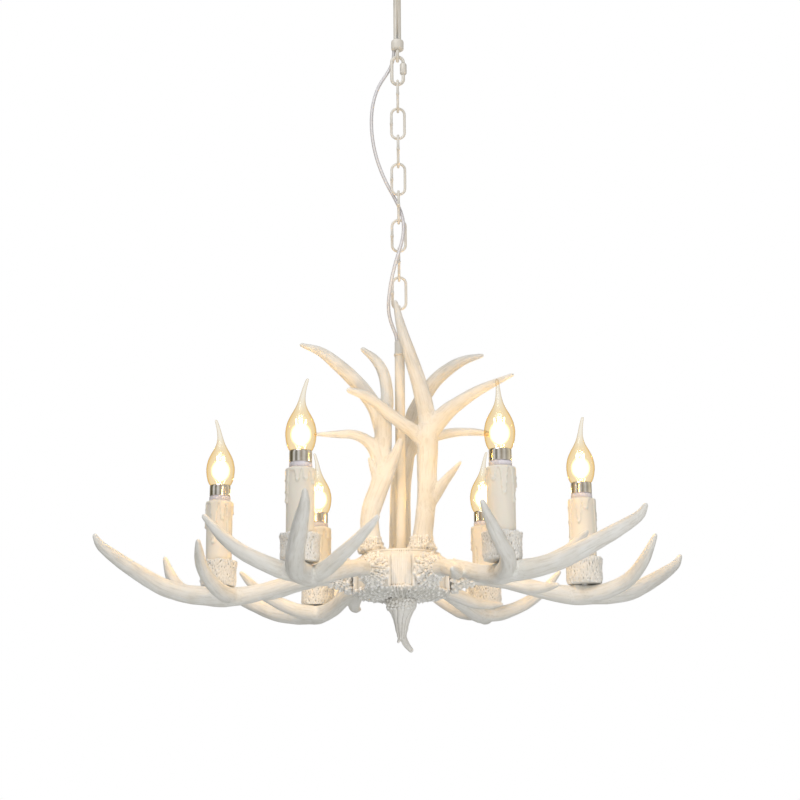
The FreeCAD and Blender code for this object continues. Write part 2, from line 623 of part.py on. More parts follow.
BACK_ANTLER = (
    ([(-1, 34, 0), (-1, 34, 14), (-1, 34, 40), (0, 34, 86), (4, 35, 118), (9, 36, 148), (13, 37, 172)],
     [15.4, 14.2, 13.6, 13.0, 11.9, 11.3, 9.8]),
    ([(11, 36, 158), (17, 37, 182), (28, 39, 204), (44, 42, 228), (63, 47, 246), (83, 53, 259),
      (106, 60, 267)], [8.2, 9.6, 8.9, 7.9, 6.8, 5.1, 2.3]),
    ([(6, 35, 124), (17, 37, 142), (32, 39, 152), (54, 43, 159), (76, 47, 163), (101, 51, 163),
      (126, 56, 159)], [7.4, 8.6, 7.6, 6.4, 5.6, 4.1, 1.9]),
)


def upright_antler(branches, place):
    """One cast antler: its burr at the foot, its beam and its tines."""
    x, y = place
    grow = UPRIGHT_HEIGHT / 312.0
    lifted = []
    for points, radii in branches:
        lifted.append(limb([(px * grow, py * grow, HUB_TOP + h * grow) for px, py, h in points],
                           [r * grow for r in radii]))
    foot = branches[0][1][0] * grow
    burr = turned([(0, HUB_TOP), (foot, HUB_TOP), (foot + BURR_STEP, HUB_TOP + BURR_HEIGHT * 0.4),
                   (foot + BURR_STEP * 0.6, HUB_TOP + BURR_HEIGHT * 0.8),
                   (foot - 2.0, HUB_TOP + BURR_HEIGHT), (0, HUB_TOP + BURR_HEIGHT)], x, y)
    antler = joined(burr, *lifted)
    pilot = disc(UPRIGHT_SCREW_RADIUS + SLIP, HUB_TOP - 1, HUB_TOP + UPRIGHT_SCREW_GRIP + 1, x, y)
    return antler.cut(pilot)


def upright_screws():
    """Three screws from under the cover, one up into each antler's foot."""
    screws = []
    for x, y in upright_places().values():
        head = disc(1.8 * UPRIGHT_SCREW_RADIUS, DRUM_TOP - 3.0, DRUM_TOP, x, y)
        shank = disc(UPRIGHT_SCREW_RADIUS, DRUM_TOP - 3.0, HUB_TOP + UPRIGHT_SCREW_GRIP, x, y)
        screws.append(joined(head, shank))
    return screws


# ---------------------------------------------------------------- candle arms
# Each arm is drawn in its own frame: r outward from the hub's axis, t to the left looking
# outward, h above the arm's root. The fork is under the candle.
FORK_SIDE = 3.0
FORK_DROP = 23.5
BURR_RADIUS = 21.0
BURR_LENGTH = 8.0
BEAM_RADII = (11.0, 10.0, 9.6, 10.4, 11.8, 12.2, 11.6)
# tines: points as (r, t, h) steps from the fork, and radii
OUTER_TINE = ([(-14, -1, 1), (17, 7, 1), (38, 17, 2.5), (60, 31, 8), (80, 46, 18), (106, 68, 34),
               (126, 86, 49), (133, 91, 60)],
              [11.6, 11.4, 10.6, 9.8, 8.9, 7.2, 4.8, 2.2])
SIDE_TINE = ([(-4, -2, 0), (19, -11, 2), (33, -18, 6), (46, -28, 12), (57, -43, 22), (67, -60, 38),
              (76, -77, 59)],
             [10.0, 9.6, 8.9, 8.2, 7.3, 5.8, 2.0])
INNER_TINE = ([(-20, 0, 0), (-11, 16, 2), (-3, 33, 6), (6, 55, 16), (11, 76, 28), (12, 91, 40),
               (12, 103, 51)],
              [9.4, 9.4, 8.8, 7.8, 6.4, 4.8, 2.0])
# the short brow tine, as (r, t, h) steps from the root
BROW_TINE = ([(46, 0, -4), (70, -8, -9), (92, -17, -16), (110, -29, -18), (124, -42, -17)],
             [8.6, 8.4, 7.2, 5.2, 2.0])


def arm_point(r, t, h):
    """From an arm's own frame to the row's, for an arm that looks out along -Y."""
    return (t, -r, ARM_ROOT + h)


def from_fork(steps):
    return [arm_point(CANDLE_CIRCLE + r, FORK_SIDE + t, -FORK_DROP + h) for r, t, h in steps]


def beam_points():
    """The main beam, from the hub out and down to just past the fork."""
    root, fork = ARM_SEAT_RADIUS, CANDLE_CIRCLE
    spots = [(root, 0, 0), (root + 22, 0, -0.5), (root + 62, 4, -5), (fork - 48, 1, -FORK_DROP + 5),
             (fork - 16, FORK_SIDE, -FORK_DROP), (fork, FORK_SIDE, -FORK_DROP),
             (fork + 14, FORK_SIDE + 3, -FORK_DROP + 1)]
    return [arm_point(*spot) for spot in spots]


def lead_corners(start):
    """The straight runs that a lead follows: out through the nipple, down the beam, up the cup."""
    return [arm_point(start, 0, 0), arm_point(ARM_SEAT_RADIUS + 18, 0, 0),
            arm_point(CANDLE_CIRCLE, 0, lead_elbow() - ARM_ROOT)]


def lead_elbow():
    return CUP_SEAT - CUP_NIPPLE_DEPTH - 4.4


def antler_arm():
    """One cast arm: flat root with its burr, beam, four tines, the cup's seat and the wire way."""
    root = V(*arm_point(ARM_SEAT_RADIUS, 0, 0))
    burr_profile = [(BURR_RADIUS - 3.0, 0), (BURR_RADIUS, 2.5), (BURR_RADIUS - 0.5, 6.0),
                    (BURR_RADIUS - 5.0, BURR_LENGTH + 1), (BEAM_RADII[1] + 0.5, 2 * BURR_LENGTH)]
    points = [V(0, 0, 0)] + [V(r, 0, z) for r, z in burr_profile] + [V(0, 0, 2 * BURR_LENGTH)]
    burr = Part.Face(Part.makePolygon(points + points[:1])).revolve(V(0, 0, 0), UP, 360)
    burr.rotate(V(0, 0, 0), V(1, 0, 0), 90)
    burr.translate(root)
    beam = limb(beam_points(), BEAM_RADII)
    tines = [limb(from_fork(steps), radii) for steps, radii in (OUTER_TINE, SIDE_TINE, INNER_TINE)]
    brow = limb([arm_point(ARM_SEAT_RADIUS + r, t, h) for r, t, h in BROW_TINE[0]], BROW_TINE[1])
    seat = disc(SEAT_RADIUS, CUP_SEAT - FORK_DROP + SEAT_BELOW_ROOT, CUP_SEAT, 0, -CANDLE_CIRCLE)
    arm = joined(burr, beam, seat, brow, *tines)
    # flat ends: the root's face on the hub and the seat's face under the cup
    behind = Part.makeBox(4 * BURR_RADIUS, BURR_RADIUS, 4 * BURR_RADIUS,
                          root + V(-2 * BURR_RADIUS, 0, -2 * BURR_RADIUS))
    above = disc(CUP_RADIUS + PLAY, CUP_SEAT, CUP_TOP, 0, -CANDLE_CIRCLE)
    arm = arm.cut(behind).cut(above)
    # wire way: nipple's hole, sloping hole along the beam, upright hole under the cup
    nipple_hole = Part.makeCylinder(NIPPLE_RADIUS + SLIP, arm_nipple_grip(), root, V(0, -1, 0))
    corners = [V(*c) for c in lead_corners(ARM_SEAT_RADIUS)]
    slope = corners[2] - corners[1]
    sloping = Part.makeCylinder(LEAD_BORE_RADIUS, slope.Length, corners[1], slope)
    upright = disc(NIPPLE_RADIUS + SLIP, lead_elbow() - LEAD_BORE_RADIUS, CUP_SEAT + 1, 0, -CANDLE_CIRCLE)
    return arm.cut(nipple_hole).cut(sloping).cut(upright)


def arm_nipple_grip():
    return 20.0


def arm_nipple():
    """Threaded tube through the hub's wall into an arm's root; the lead runs inside it."""
    start = nut_face_radius() - ROD_NUT_THICKNESS - 2.0
    length = ARM_SEAT_RADIUS + arm_nipple_grip() - 0.5 - start
    place = V(0, -start, ARM_ROOT)
    tube = Part.makeCylinder(NIPPLE_RADIUS, length, place, V(0, -1, 0))
    return tube.cut(Part.makeCylinder(NIPPLE_BORE_RADIUS, 3 * length, place + V(0, length, 0), V(0, -1, 0)))


def arm_nut():
    """Nut inside the drum that pulls an arm against its boss."""
    nut = hexagon(ROD_NUT_ACROSS, 0, ROD_NUT_THICKNESS).cut(disc(NIPPLE_RADIUS + SLIP, -1, ROD_NUT_THICKNESS + 1))
    nut.rotate(V(0, 0, 0), V(1, 0, 0), 90)
    nut.translate(V(0, -nut_face_radius() + ROD_NUT_THICKNESS, ARM_ROOT))
    return nut


def arm_lead():
    """Two-core lead from the hub out along the arm and up into the lampholder."""
    start, bend, elbow = [V(*c) for c in lead_corners(LEAD_START_RADIUS)]
    top = V(elbow.x, elbow.y, HOLDER_FOOT + CUP_NIPPLE_ABOVE)
    slope = elbow - bend
    slope.normalize()
    turn = slope.getAngle(UP) / 2
    trim = LEAD_BEND * math.tan(turn)
    first, last = elbow - slope * trim, elbow + UP * trim
    inward = UP - slope
    inward.normalize()
    middle = elbow + inward * LEAD_BEND * (1 / math.cos(turn) - 1)
    ease = 12.0
    onto = V(0, -1, 0)
    bend_turn = onto.getAngle(slope) / 2
    bend_radius = ease / math.tan(bend_turn)
    before, after = bend - onto * ease, bend + slope * ease
    aside = slope - onto
    aside.normalize()
    bend_middle = bend + aside * bend_radius * (1 / math.cos(bend_turn) - 1)
    wire = Part.Wire([Part.LineSegment(start, before).toShape(),
                      Part.Arc(before, bend_middle, after).toShape(),
                      Part.LineSegment(after, first).toShape(),
                      Part.Arc(first, middle, last).toShape(),
                      Part.LineSegment(last, top).toShape()])
    return tube_along(wire, LEAD_RADIUS)


# ---------------------------------------------------------------- candles
def candle_cup():
    """Bark-faced pot on the fork; its recess takes the candle sleeve."""
    r = CUP_RADIUS
    profile = [(0, CUP_SEAT), (CUP_FOOT_RADIUS, CUP_SEAT), (r - 0.6, CUP_SEAT + 5.0), (r - 1.2, CUP_TOP - 8.0),
               (r, CUP_TOP - 2.5), (r - 1.5, CUP_TOP), (0, CUP_TOP)]
    pot = turned(profile, 0, -CANDLE_CIRCLE)
    recess = disc(SLEEVE_RADIUS + PLAY, SLEEVE_FOOT, CUP_TOP + 1, 0, -CANDLE_CIRCLE)
    hole = disc(NIPPLE_RADIUS + FIT, CUP_SEAT - 1, SLEEVE_FOOT + 1, 0, -CANDLE_CIRCLE)
    return pot.cut(recess).cut(hole)


def cup_nipple():
    """Threaded tube that ties arm, cup and lampholder together."""
    low, high = CUP_SEAT - CUP_NIPPLE_DEPTH, HOLDER_FOOT + CUP_NIPPLE_ABOVE - FIT
    tube = disc(NIPPLE_RADIUS, low, high, 0, -CANDLE_CIRCLE)
    return tube.cut(disc(NIPPLE_BORE_RADIUS, low - 1, high + 1, 0, -CANDLE_CIRCLE))


def candle_sleeve():
    """Ivory plastic candle tube with a rounded shoulder and a hole for the lampholder."""
    r, t = SLEEVE_RADIUS, SLEEVE_WALL
    s = SLEEVE_SHOULDER
    inner_top = SLEEVE_TOP - SLEEVE_TOP_WALL
    top_hole = HOLDER_RADIUS + FIT
    profile = [(r - t, SLEEVE_FOOT), (r, SLEEVE_FOOT), (r, SLEEVE_TOP - s), (r - 0.3 * s, SLEEVE_TOP - 0.3 * s),
               (r - 0.55 * s, SLEEVE_TOP), (top_hole, SLEEVE_TOP), (top_hole, inner_top), (r - t, inner_top - 1.0)]
    return turned(profile, 0, -CANDLE_CIRCLE)


def lampholder():
    """Small screw lampholder: a long round body with a rim that rests on the sleeve."""
    socket = BULB_CAP_RADIUS + PLAY
    floor = BULB_SEAT - BULB_CAP_LENGTH - 2.0
    foot = HOLDER_FOOT
    body = turned([(0, foot), (HOLDER_RADIUS, foot), (HOLDER_RADIUS, SLEEVE_TOP), (HOLDER_RIM_RADIUS, SLEEVE_TOP),
                   (HOLDER_RIM_RADIUS, HOLDER_TOP - 0.8), (HOLDER_RIM_RADIUS - 0.8, HOLDER_TOP), (0, HOLDER_TOP)],
                  0, -CANDLE_CIRCLE)
    well = disc(socket, floor, HOLDER_TOP + 1, 0, -CANDLE_CIRCLE)
    thread = disc(NIPPLE_RADIUS + SLIP, foot - 1, foot + CUP_NIPPLE_ABOVE, 0, -CANDLE_CIRCLE)
    return body.cut(well).cut(thread)


def bulb(turn):
    """A candle bulb: glass flame with a bent tail, metal cap with its collar, and the stem."""
    foot = GLASS_FOOT
    outline = [(GLASS_FOOT_RADIUS, 0.0), (0.80 * GLASS_RADIUS, 5.0), (0.945 * GLASS_RADIUS, 12.0),
               (GLASS_RADIUS, 22.5), (0.955 * GLASS_RADIUS, 32.0), (0.78 * GLASS_RADIUS, 43.0),
               (0.53 * GLASS_RADIUS, 54.0), (0.32 * GLASS_RADIUS, 63.0)]
    shoulder = outline[-1][1]

    def flame(corners, inset):
        curve = Part.BSplineCurve()
        curve.interpolate([V(r - inset, 0, foot + h) for r, h in corners])
        low, high = curve.StartPoint, curve.EndPoint
        axis_low, axis_high = V(0, 0, low.z), V(0, 0, high.z)
        wire = Part.Wire([curve.toShape(), Part.LineSegment(high, axis_high).toShape(),
                          Part.LineSegment(axis_high, axis_low).toShape(),
                          Part.LineSegment(axis_low, low).toShape()])
        return Part.Face(wire).revolve(V(0, 0, 0), UP, 360)

    rise = GLASS_HEIGHT - shoulder
    tail = limb([(0, 0, foot + shoulder - 4.0), (0.8, 0, foot + shoulder + 0.2 * rise),
                 (3.0, 0, foot + shoulder + 0.48 * rise), (5.4, 0, foot + shoulder + 0.75 * rise),
                 (6.2, 0, foot + shoulder + rise)], [0.98 * outline[-1][0], 4.2, 3.0, 2.1, 1.8])
    glass = flame(outline, 0.0).fuse(tail).cut(flame(outline[:-1], GLASS_WALL))
    cap = turned([(0, BULB_SEAT - BULB_CAP_LENGTH), (BULB_CONTACT_RADIUS, BULB_SEAT - BULB_CAP_LENGTH),
                  (BULB_CAP_RADIUS, BULB_SEAT - BULB_CAP_LENGTH + 3.0), (BULB_CAP_RADIUS, BULB_SEAT),
                  (BULB_COLLAR_RADIUS, BULB_SEAT), (BULB_COLLAR_RADIUS, foot - 0.5),
                  (BULB_COLLAR_RADIUS - 0.5, foot), (0, foot)])
    inside = GLASS_FOOT_RADIUS - GLASS_WALL
    stem = turned([(0, foot), (inside * 0.5, foot), (inside * 0.3, foot + 12.0), (1.6, foot + 18.0),
                   (1.0, foot + 24.0), (1.0, foot + 40.0), (0, foot + 40.0)])
    solids = []
    for solid in (glass, cap, stem):
        solid.rotate(V(0, 0, 0), UP, turn)
        solid.translate(V(0, -CANDLE_CIRCLE, 0))
        solids.append(solid)
    return solids


# ---------------------------------------------------------------- supply cable
# x and y, and the height above the hub, of the route's points between its two straight ends
CABLE_ROUTE = [
    (-4.8, 3.0, 665.0), (-5.8, 5.6, 656.5), (-9.0, 7.0, 647.5), (-14.4, 6.8, 637.0), (-21.4, 5.8, 626.0),
    (-27.6, 4.4, 612.5), (-32.4, 3.2, 594.6), (-34.6, 2.8, 575.6), (-34.4, 3.0, 555.6), (-32.2, 3.8, 536.6),
    (-28.0, 5.2, 517.6), (-22.0, 6.8, 499.6), (-14.2, 7.6, 481.6), (-6.8, 6.2, 466.6),
    (-1.4, 1.6, 453.6), (3.0, -3.0, 441.1), (6.2, -7.6, 425.6), (6.0, -11.2, 407.6), (2.6, -14.6, 390.6),
    (-3.6, -16.6, 370.6), (-9.2, -14.0, 348.6), (-12.8, -9.5, 327.6), (-13.9, -5.2, 309.6),
    (-11.6, -2.0, 296.6), (-7.4, -0.4, 285.0), (-3.5, 0, 275.0),
]


def supply_cable():
    """Clear plastic supply cable: out of the coupling, woven down the chain, into the pole."""
    route = [(CABLE_TOP_X, CABLE_TOP_Y, COUPLING_FOOT + COUPLING_FLOOR)]
    route += [(x, y, HUB_TOP + h) for x, y, h in CABLE_ROUTE]
    route.append((CABLE_FOOT_X, 0, LOOP_BASE_TOP - CABLE_FOOT_DEPTH))
    wire, radii = rounded_path(route)
    tube = tube_along(wire, CABLE_RADIUS)
    expected = math.pi * CABLE_RADIUS ** 2 * wire.Length
    print(f"cable length {wire.Length:.1f}, volume {tube.Volume:.0f} against {expected:.0f}")
    print("cable bend radii:", " ".join(f"{r:.0f}" for r in radii))
    return tube


# ---------------------------------------------------------------- the pieces, top to bottom
save("ceiling_bracket", ceiling_bracket())
save("ceiling_canopy", ceiling_canopy())
save("canopy_screws", *canopy_screws())
save("down_rod", down_rod())
save("rod_nuts", *rod_nuts())
save("rod_coupling", rod_coupling())
save("rod_set_screw", rod_set_screw())
save("coupling_eye", coupling_eye())
save("supply_cable", supply_cable())
save("quick_link", quick_link())
save("quick_link_nut", quick_link_nut())
for number in range(1, CHAIN_LINKS + 1):
    save(f"chain_link_{number}", chain_link(number))
save("pole_loop", pole_loop())
save("centre_pole", centre_pole())
save("pole_nut", pole_nut())
save("hub_cover", hub_cover())
save("hub_body", hub_body())
save("hub_base", hub_base())
save("terminal_block", terminal_block())
save("finial", finial())
save("upright_antler_left", upright_antler(LEFT_ANTLER, upright_places()["left"]))
save("upright_antler_right", upright_antler(RIGHT_ANTLER, upright_places()["right"]))
save("upright_antler_back", upright_antler(BACK_ANTLER, upright_places()["back"]))
save("upright_screws", *upright_screws())

arm, cup, sleeve = antler_arm(), candle_cup(), candle_sleeve()
nipple, nut, lead, cup_tube, holder = arm_nipple(), arm_nut(), arm_lead(), cup_nipple(), lampholder()
for number, azimuth in enumerate(arm_azimuths(), start=1):
    save(f"antler_arm_{number}", at_azimuth(arm, azimuth))
    save(f"candle_cup_{number}", at_azimuth(cup, azimuth))
    save(f"candle_sleeve_{number}", at_azimuth(sleeve, azimuth))
    pieces = bulb(BULB_TURNS[(number - 1) % len(BULB_TURNS)] - azimuth)
    save(f"bulb_{number}", *[at_azimuth(piece, azimuth) for piece in pieces])
save("arm_nipples", *[at_azimuth(nipple, a) for a in arm_azimuths()])
save("arm_nuts", *[at_azimuth(nut, a) for a in arm_azimuths()])
save("arm_leads", *[at_azimuth(lead, a) for a in arm_azimuths()])
save("cup_nipples", *[at_azimuth(cup_tube, a) for a in arm_azimuths()])
save("lampholders", *[at_azimuth(holder, a) for a in arm_azimuths()])
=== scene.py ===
"""Antler chandelier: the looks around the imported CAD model, in metres, Z up.

The sections follow the lamp as it is put together, from the ceiling down and then outwards.
"""
import math

import bpy
import numpy as np
from mathutils import Matrix, Vector
from mathutils.kdtree import KDTree


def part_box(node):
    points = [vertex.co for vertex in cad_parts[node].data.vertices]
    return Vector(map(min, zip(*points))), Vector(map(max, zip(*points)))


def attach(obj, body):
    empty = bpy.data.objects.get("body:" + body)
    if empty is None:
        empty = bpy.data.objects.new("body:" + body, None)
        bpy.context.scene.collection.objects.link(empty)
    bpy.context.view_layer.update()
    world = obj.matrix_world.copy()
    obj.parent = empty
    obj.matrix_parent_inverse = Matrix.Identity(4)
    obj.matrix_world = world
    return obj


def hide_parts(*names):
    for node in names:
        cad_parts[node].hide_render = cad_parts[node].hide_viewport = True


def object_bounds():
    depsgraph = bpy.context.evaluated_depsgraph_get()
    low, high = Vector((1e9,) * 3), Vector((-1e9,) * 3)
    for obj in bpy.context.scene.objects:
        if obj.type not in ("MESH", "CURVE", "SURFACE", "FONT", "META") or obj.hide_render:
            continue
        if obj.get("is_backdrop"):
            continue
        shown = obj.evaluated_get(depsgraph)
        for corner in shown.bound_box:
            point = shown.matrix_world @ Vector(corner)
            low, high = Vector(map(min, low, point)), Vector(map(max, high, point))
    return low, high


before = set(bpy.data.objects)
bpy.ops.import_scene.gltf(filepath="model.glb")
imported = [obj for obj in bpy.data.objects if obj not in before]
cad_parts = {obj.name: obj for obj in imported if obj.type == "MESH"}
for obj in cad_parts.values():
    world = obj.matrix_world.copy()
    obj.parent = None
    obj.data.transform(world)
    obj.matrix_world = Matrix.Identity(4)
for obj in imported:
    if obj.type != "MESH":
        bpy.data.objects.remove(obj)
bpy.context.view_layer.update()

# Routes, profiles and limbs are written in millimetres, and the scene is in metres.
MM = 1000
# Points of a mesh that are closer together than this, in metres, are one point.
SAME_POINT = 0.000002

# ------------------------------------------------------------------ camera
# The photographer stood about two metres off, below the lamp, and looked up a little.
# The lamp leans less than half a degree in the picture.
CAMERA_DISTANCE = 1.924
CAMERA_HEIGHT = -1.108
CAMERA_TILT = 14.42
CAMERA_ROLL = 0.43
SENSOR_WIDTH = 36
LENS = 72
bpy.ops.object.camera_add(location=(0, -CAMERA_DISTANCE, CAMERA_HEIGHT))
camera = bpy.context.object
camera.name = "photo_camera"
camera.rotation_euler = (Matrix.Rotation(math.radians(90 + CAMERA_TILT), 3, "X")
                         @ Matrix.Rotation(math.radians(-CAMERA_ROLL), 3, "Z")).to_euler()
camera.data.sensor_width = SENSOR_WIDTH
camera.data.lens = LENS
bpy.context.scene.camera = camera

# ------------------------------------------------------------------ ceiling rose, rod and eye
# Steel parts sprayed with cream-white enamel and baked; screws and nuts inside are zinc plated.
# They keep their CAD forms. A noise's Scale here is its number of patches in a metre.
CHAIN_LINKS = 8
CREASE = 35
FINE_TOOTH = 900.0
TOOTH_DEPTH = 0.0002
GLOSS_DRIFT = 0.25


def lit(code):
    """An sRGB hex colour as Blender's linear one."""
    parts = [int(code[i:i + 2], 16) / 255 for i in (1, 3, 5)]
    return (*[p / 12.92 if p <= 0.04045 else ((p + 0.055) / 1.055) ** 2.4 for p in parts], 1.0)


def add(tree, kind, settings=None, links=None):
    """A shader node of that kind, with its settings, and links from other nodes' outputs."""
    made = tree.nodes.new("ShaderNode" + kind)
    for name, value in (settings or {}).items():
        if isinstance(name, str) and hasattr(made, name):
            setattr(made, name, value)
        else:
            made.inputs[name].default_value = value
    for name, source in (links or {}).items():
        tree.links.new(source, made.inputs[name])
    return made


def new_material(name):
    """An empty material and its tree, with the shader and its output joined."""
    made = bpy.data.materials.new(name)
    made.use_nodes = True
    shader = made.node_tree.nodes["Principled BSDF"]
    return made, made.node_tree, shader


def dress(node, material):
    """Give a CAD node its finish."""
    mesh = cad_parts[node].data
    mesh.materials.clear()
    mesh.materials.append(material)


def finish_copy(node, body, material):
    """A copy of a CAD node with its triangles joined up, smooth but for its real edges."""
    made = bpy.data.objects.new(f"{node}_finished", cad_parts[node].data.copy())
    bpy.context.collection.objects.link(made)
    bpy.ops.object.select_all(action="DESELECT")
    made.select_set(True)
    bpy.context.view_layer.objects.active = made
    bpy.ops.object.mode_set(mode="EDIT")
    bpy.ops.mesh.select_all(action="SELECT")
    bpy.ops.mesh.remove_doubles(threshold=SAME_POINT)
    bpy.ops.object.mode_set(mode="OBJECT")
    bpy.ops.object.shade_smooth_by_angle(angle=math.radians(CREASE))
    made.data.materials.clear()
    made.data.materials.append(material)
    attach(made, body)
    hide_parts(node)
    return made


def ramp(tree, source, stops, mode="LINEAR"):
    """A colour ramp through the stops, each a place from 0 to 1 and an sRGB colour, in order."""
    made = add(tree, "ValToRGB", links={"Fac": source})
    made.color_ramp.interpolation = mode
    for i, (place, code) in enumerate(stops):
        element = made.color_ramp.elements[i] if i < 2 else made.color_ramp.elements.new(place)
        element.position = place
        element.color = lit(code)
    return made


def noise(tree, scale, detail, roughness=0.5):
    """Noise that stays with the piece: its values from 0 to 1."""
    place = add(tree, "TexCoord")
    made = add(tree, "TexNoise", {"Scale": scale, "Detail": detail, "Roughness": roughness},
               {"Vector": place.outputs["Object"]})
    return made.outputs["Fac"]


def mottled(name, deep, pale, roughness, grain, tooth, metal=0.0):
    """A plain material whose colour and gloss drift a little over grain metres, with fine tooth."""
    made, tree, shader = new_material(name)
    shader.inputs["Metallic"].default_value = metal
    drift = noise(tree, 1 / grain, 3.0)
    colour = ramp(tree, drift, [(0.35, deep), (0.65, pale)])
    tree.links.new(colour.outputs["Color"], shader.inputs["Base Color"])
    dullest, glossiest = roughness * (1 + GLOSS_DRIFT), roughness * (1 - GLOSS_DRIFT)
    gloss = add(tree, "MapRange", {"To Min": glossiest, "To Max": dullest}, {"Value": drift})
    tree.links.new(gloss.outputs["Result"], shader.inputs["Roughness"])
    bump = add(tree, "Bump", {"Strength": tooth, "Distance": TOOTH_DEPTH},
               {"Height": noise(tree, FINE_TOOTH, 1.0)})
    tree.links.new(bump.outputs["Normal"], shader.inputs["Normal"])
    return made


# Enamel gives a soft, even sheen with a very slight orange peel.
enamel = mottled("baked_enamel_cream", "#EBE6DB", "#F2EDE4", roughness=0.38, grain=0.03, tooth=0.06)
# Zinc plating has pale and bluish grey patches a few millimetres wide.
zinc = mottled("zinc_plated_steel", "#9DA0A3", "#C6C8CA", roughness=0.35, grain=0.004, tooth=0.05, metal=1.0)
# The connector block is milky nylon, and the leads' insulation is plain white PVC.
nylon = mottled("moulded_nylon_milky", "#E4E2DA", "#F1F0EA", roughness=0.45, grain=0.01, tooth=0.05)
jacket = mottled("pvc_insulation_white", "#E2E0DC", "#EEEDEA", roughness=0.4, grain=0.02, tooth=0.05)

for name in ("ceiling_canopy", "canopy_screws", "down_rod", "rod_coupling", "coupling_eye"):
    finish_copy(name, "ceiling", enamel)
for name in ("quick_link", "quick_link_nut", *[f"chain_link_{k}" for k in range(1, CHAIN_LINKS + 1)]):
    finish_copy(name, name, enamel)
for name in ("pole_loop", "centre_pole"):
    finish_copy(name, "chandelier", enamel)
for name in ("ceiling_bracket", "rod_nuts", "rod_set_screw", "pole_nut", "upright_screws", "arm_nipples",
             "arm_nuts", "cup_nipples"):
    dress(name, zinc)
dress("terminal_block", nylon)
dress("arm_leads", jacket)

# ------------------------------------------------------------------ supply cable
# Two tinned cores in clear PVC, 4.4 mm across: out of the coupling, behind the quick link,
# through the fifth chain link and into the pole's cap. Its points are the CAD route's own.
HUB_TOP = float(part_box("hub_cover")[1][2])
CABLE_DIAMETER = 0.0044
CABLE_START = (-0.0047, 0.0026, -0.1351)
CABLE_END = (-0.0031, 0.0, -0.5422)
CABLE_ROUTE = [
    (-4.8, 3.0, 665.0), (-5.8, 5.6, 656.5), (-9.0, 7.0, 647.5), (-14.4, 6.8, 637.0), (-21.4, 5.8, 626.0),
    (-27.6, 4.4, 612.5), (-32.4, 3.2, 594.6), (-34.6, 2.8, 575.6), (-34.4, 3.0, 555.6), (-32.2, 3.8, 536.6),
    (-28.0, 5.2, 517.6), (-22.0, 6.8, 499.6), (-14.2, 7.6, 481.6), (-6.8, 6.2, 466.6),
    (-1.4, 1.6, 453.6), (3.0, -3.0, 441.1), (6.2, -7.6, 425.6), (6.0, -11.2, 407.6), (2.6, -14.6, 390.6),
    (-3.6, -16.6, 370.6), (-9.2, -14.0, 348.6), (-12.8, -9.5, 327.6), (-13.9, -5.2, 309.6),
    (-11.6, -2.0, 296.6), (-7.4, -0.4, 285.0), (-3.5, 0, 275.0),
]
route = [CABLE_START] + [(x / MM, y / MM, HUB_TOP + z / MM) for x, y, z in CABLE_ROUTE] + [CABLE_END]
curve = bpy.data.curves.new("supply_cable_clear", "CURVE")
curve.dimensions = "3D"
spline = curve.splines.new("NURBS")
spline.points.add(len(route) - 1)
for point, spot in zip(spline.points, route):
    point.co = (*spot, 1.0)
spline.order_u = 3
spline.use_endpoint_u = True
spline.resolution_u = 12
curve.bevel_depth = CABLE_DIAMETER / 2
curve.bevel_resolution = 6
curve.use_fill_caps = True
cable = bpy.data.objects.new("supply_cable_clear", curve)
bpy.context.collection.objects.link(cable)


def product(tree, first, second):
    """Two colours multiplied."""
    made = add(tree, "Mix", {"data_type": "RGBA", "blend_type": "MULTIPLY"}, {6: first, 7: second})
    made.inputs[0].default_value = 1.0
    return made.outputs[2]


# Clear PVC bends the light so that the two cores show as darker lines beside its middle.
pvc, tree, shader = new_material("clear_pvc_over_tinned_cores")
shader.inputs["Roughness"].default_value = 0.16
facing = add(tree, "LayerWeight", {"Blend": 0.5})
cores = ramp(tree, facing.outputs["Facing"], [(0.0, "#FFFFFF"), (0.12, "#F6F5F7"), (0.3, "#C9C6CC"),
                                              (0.5, "#F1F0F2"), (0.75, "#FBFAFB"), (1.0, "#E3E1E5")])
twist = ramp(tree, noise(tree, 700.0, 2.0), [(0.4, "#F4F3F4"), (0.6, "#FFFFFF")])
tree.links.new(product(tree, cores.outputs["Color"], twist.outputs["Color"]), shader.inputs["Base Color"])
curve.materials.append(pvc)
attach(cable, "ceiling")
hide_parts("supply_cable")

